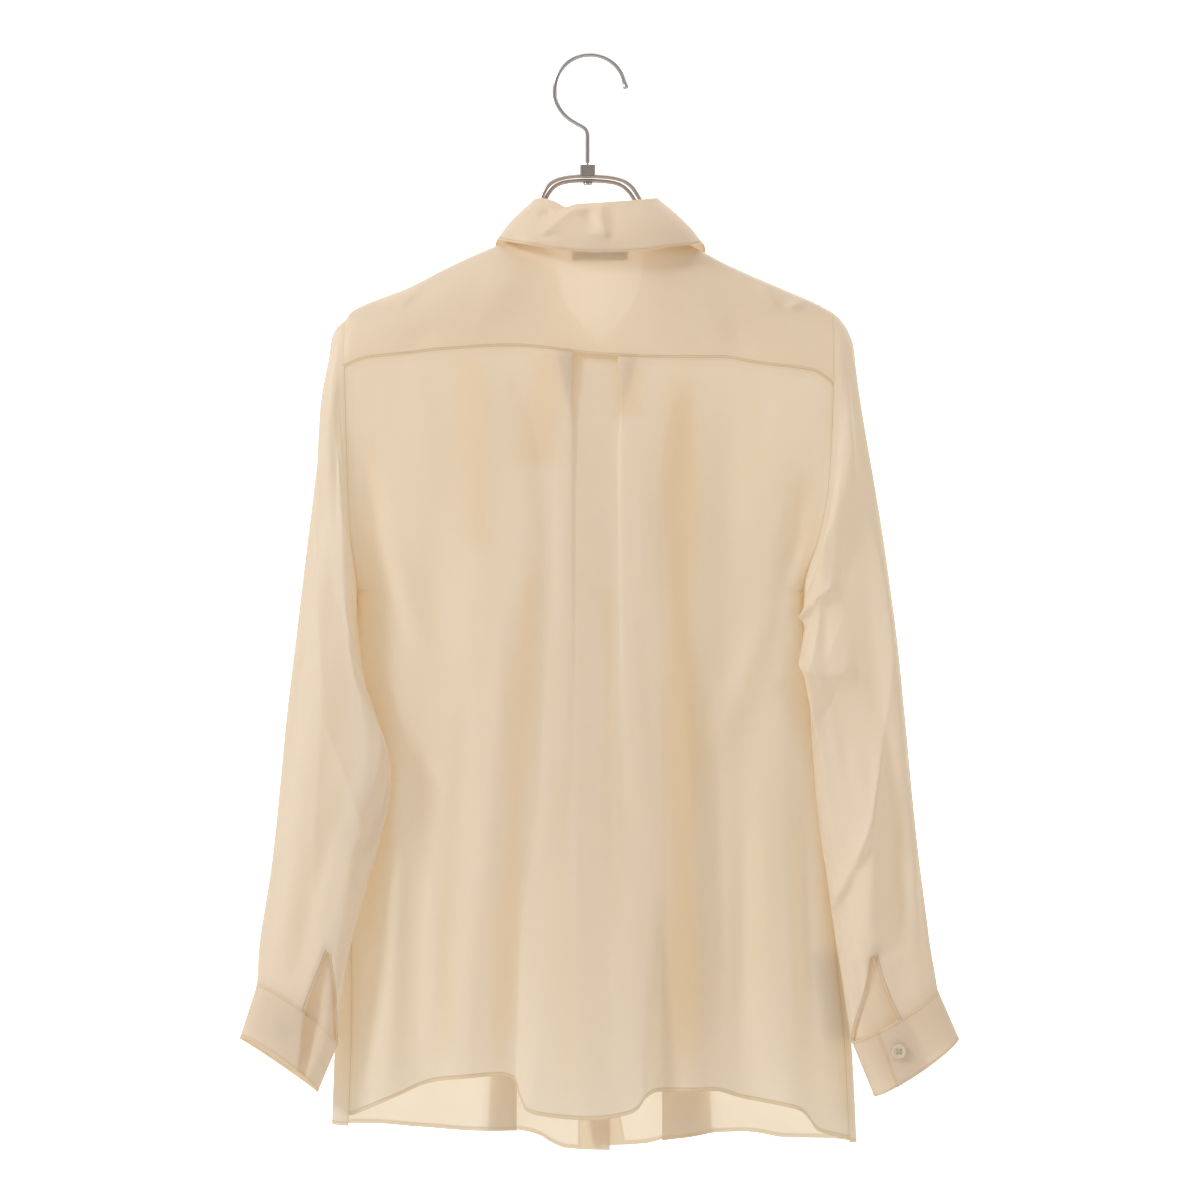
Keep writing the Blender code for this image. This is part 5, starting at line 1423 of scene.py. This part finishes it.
def buttonholes():
    """Close zigzag stitches round each buttonhole of the right band."""
    lines = []

    def hole(centre, along, cross):
        for edge in (-1, 1):
            steps = np.linspace(-6.8, 6.8, 69)
            sway = np.where(np.arange(69) % 2 == 0, 0.35, 1.35)
            lines.append(centre + along * steps[:, None] + cross * (edge * sway)[:, None])
        for end in (-1, 1):
            sway = np.linspace(-1.4, 1.4, 9)[:, None]
            zigzag = np.where(np.arange(9) % 2 == 0, 6.6, 7.6)[:, None]
            lines.append(centre + along * (end * zigzag) + cross * sway)

    for node, centre, facing in button_spots():
        if "front" in node:
            hole(centre - facing * (BAND_STAND - 0.3), np.array([0.0, 0.0, 1.0]),
                 np.array([1.0, 0.0, 0.0]))
    return lines


def sew_blouse():
    """Every sheet of the blouse and the stitches on it."""
    seams_of, tops = [], []
    yoke, keep = yoke_grid()
    cloth("back_yoke", yoke, SILK_TWO, "silk_double", INSIDE, seams=("bottom", "top"), keep=keep)
    seams_of.append(along_edge(yoke, "bottom", 1.6, INSIDE))
    share = 0.5 * (1 - 61 / yoke.shape[1])
    for start, end in ((0.0, share - 0.01), (1.01 - share, 1.0)):
        seams_of.append(along_edge(yoke, "top", 1.6, INSIDE, start, end))
    back = back_grid()
    cloth("back_panel", back, SILK, "silk", INSIDE, hems=("bottom",), seams=("top", "left", "right"))
    hem_lines = [along_edge(back, "bottom", HEM - 0.6, INSIDE)]
    for side in ("left", "right"):
        front = front_grid(side)
        cloth(f"front_{side}", front, SILK, "silk", INSIDE, hems=("bottom",), seams=("top", "right"))
        hem_lines.append(along_edge(front, "bottom", HEM - 0.6, INSIDE))
        band = band_grid(side)
        cloth(f"front_band_{side}", band, SILK_TWO, "silk_double", INSIDE)
        tops += [along_edge(band, "left", 1.5, INSIDE), along_edge(band, "right", 1.5, INSIDE)]
        sleeve = sleeve_grid(side)
        cloth(f"sleeve_{side}", sleeve, SILK, "silk", hems=("left", "right"), seams=("top", "bottom"),
              closed_rows=SLEEVE_ROWS)
        first = (SLEEVE_ROWS - 1) / (len(sleeve) - 1)
        tops += [along_edge(sleeve, edge, HEM - 0.6, None, first, 1.0) for edge in ("left", "right")]
        cloth(f"slit_facing_{side}", facing_grid(side), SILK_TWO, "silk_double")
        cuff = cuff_grid(side)
        cloth(f"cuff_{side}", cuff, SILK_TWO, "silk_double", hems=("left", "right", "bottom"))
        tops += [along_edge(cuff, edge, 1.6) for edge in ("top", "bottom", "left", "right")]
    stand = stand_grid()
    cloth("collar_stand", stand, SILK_TWO, "silk_double")
    tops.append(along_edge(stand, "top", 1.4))
    collar = collar_grid()
    cloth("collar", collar, SILK_TWO, "silk_double", hems=("left", "right", "bottom"))
    tops += [along_edge(collar, edge, 1.8) for edge in ("bottom", "left", "right")]
    cloth("neck_label", neck_label_grid(), SATIN, "label_satin", INSIDE)
    cloth("care_label", care_label_grid(), SATIN, "label_satin", INSIDE)
    sew("hem_stitches", hem_lines)
    sew("seam_stitches", seams_of)
    sew("edge_stitches", tops)


# ---------------------------------------------------------------- studio
# In metres: height of the floor, how far the wall stands behind, radius of the bend between
# them, and each lamp's name, place, aim, size and power in watts.
FLOOR, WALL, BEND = -1.3, 7.0, 1.5
MIDDLE = (0.0, 0.0, -0.45)
LAMPS = (("key_left", (-2.6, -1.5, 1.3), MIDDLE, (0.7, 0.7), 54.0),
         ("key_right", (2.7, -1.3, 1.0), MIDDLE, (0.7, 0.7), 11.0),
         ("top", (0.1, -0.3, 1.7), MIDDLE, (1.6, 1.0), 10.0),
         ("from_behind", (0.3, 1.2, 0.9), (0.0, 0.0, -0.3), (1.8, 1.2), 9.0))


def studio_sweep():
    """A pale floor that curves up into a backdrop far behind."""
    turn = [(WALL - BEND + BEND * math.sin(a), FLOOR + BEND * (1 - math.cos(a)))
            for a in np.radians(range(0, 91, 9))]
    profile = [*((y, FLOOR) for y in (-8.0, -2.0, 0.0, 1.0, 2.0)), *turn, (WALL, 8.0)]
    verts = [(x, y, z) for y, z in profile for x in (-9.0, 9.0)]
    faces = [(2 * k, 2 * k + 1, 2 * k + 3, 2 * k + 2) for k in range(len(profile) - 1)]
    mesh = bpy.data.meshes.new("studio_sweep")
    mesh.from_pydata(verts, [], faces)
    mesh.shade_smooth()
    mesh.materials.append(PAPER)
    in_scene("studio_sweep", mesh)


def lamp(name, place_at, aim, size, power):
    """A large soft light that looks at a point."""
    light = bpy.data.lights.new(name, "AREA")
    light.shape, light.size, light.size_y = "RECTANGLE", *size
    light.energy = power
    made = in_scene(name, light)
    made.location = place_at
    made.rotation_euler = (Vector(aim) - Vector(place_at)).to_track_quat("-Z", "Y").to_euler()


def set_lights_and_camera():
    """The lamps, a world that is brighter above than below, and the camera behind the wearer."""
    for row in LAMPS:
        lamp(*row)
    world = bpy.data.worlds.new("studio")
    world.use_nodes = True
    tree = world.node_tree
    sky, ways, grade = (tree.nodes.new(kind) for kind in (
        "ShaderNodeTexCoord", "ShaderNodeSeparateXYZ", "ShaderNodeMapRange"))
    tree.links.new(sky.outputs["Generated"], ways.inputs[0])
    tree.links.new(ways.outputs["Z"], grade.inputs["Value"])
    for name, value in (("From Min", -0.6), ("From Max", 0.7), ("To Min", 0.14), ("To Max", 0.52)):
        grade.inputs[name].default_value = value
    tree.links.new(grade.outputs[0], tree.nodes["Background"].inputs["Strength"])
    tree.nodes["Background"].inputs["Color"].default_value = (1.0, 1.0, 1.0, 1.0)
    bpy.context.scene.world = world
    lens = bpy.data.cameras.new("camera")
    lens.sensor_width, lens.lens = 36.0, 168.75
    camera = in_scene("camera", lens)
    camera.location = (0.008, -4.5, -0.4344)
    camera.rotation_euler = (math.radians(90), 0.0, 0.0)
    bpy.context.scene.camera = camera
    bpy.context.scene.view_settings.view_transform = "Standard"


SEWN_LINE = stitch_tree()
hang_up()
sew_blouse()
sew("button_thread", sew_buttons(), stitch=0.8, thread=0.2)
sew("buttonhole_stitches", buttonholes(), stitch=0.45, thread=0.16)
studio_sweep()
set_lights_and_camera()
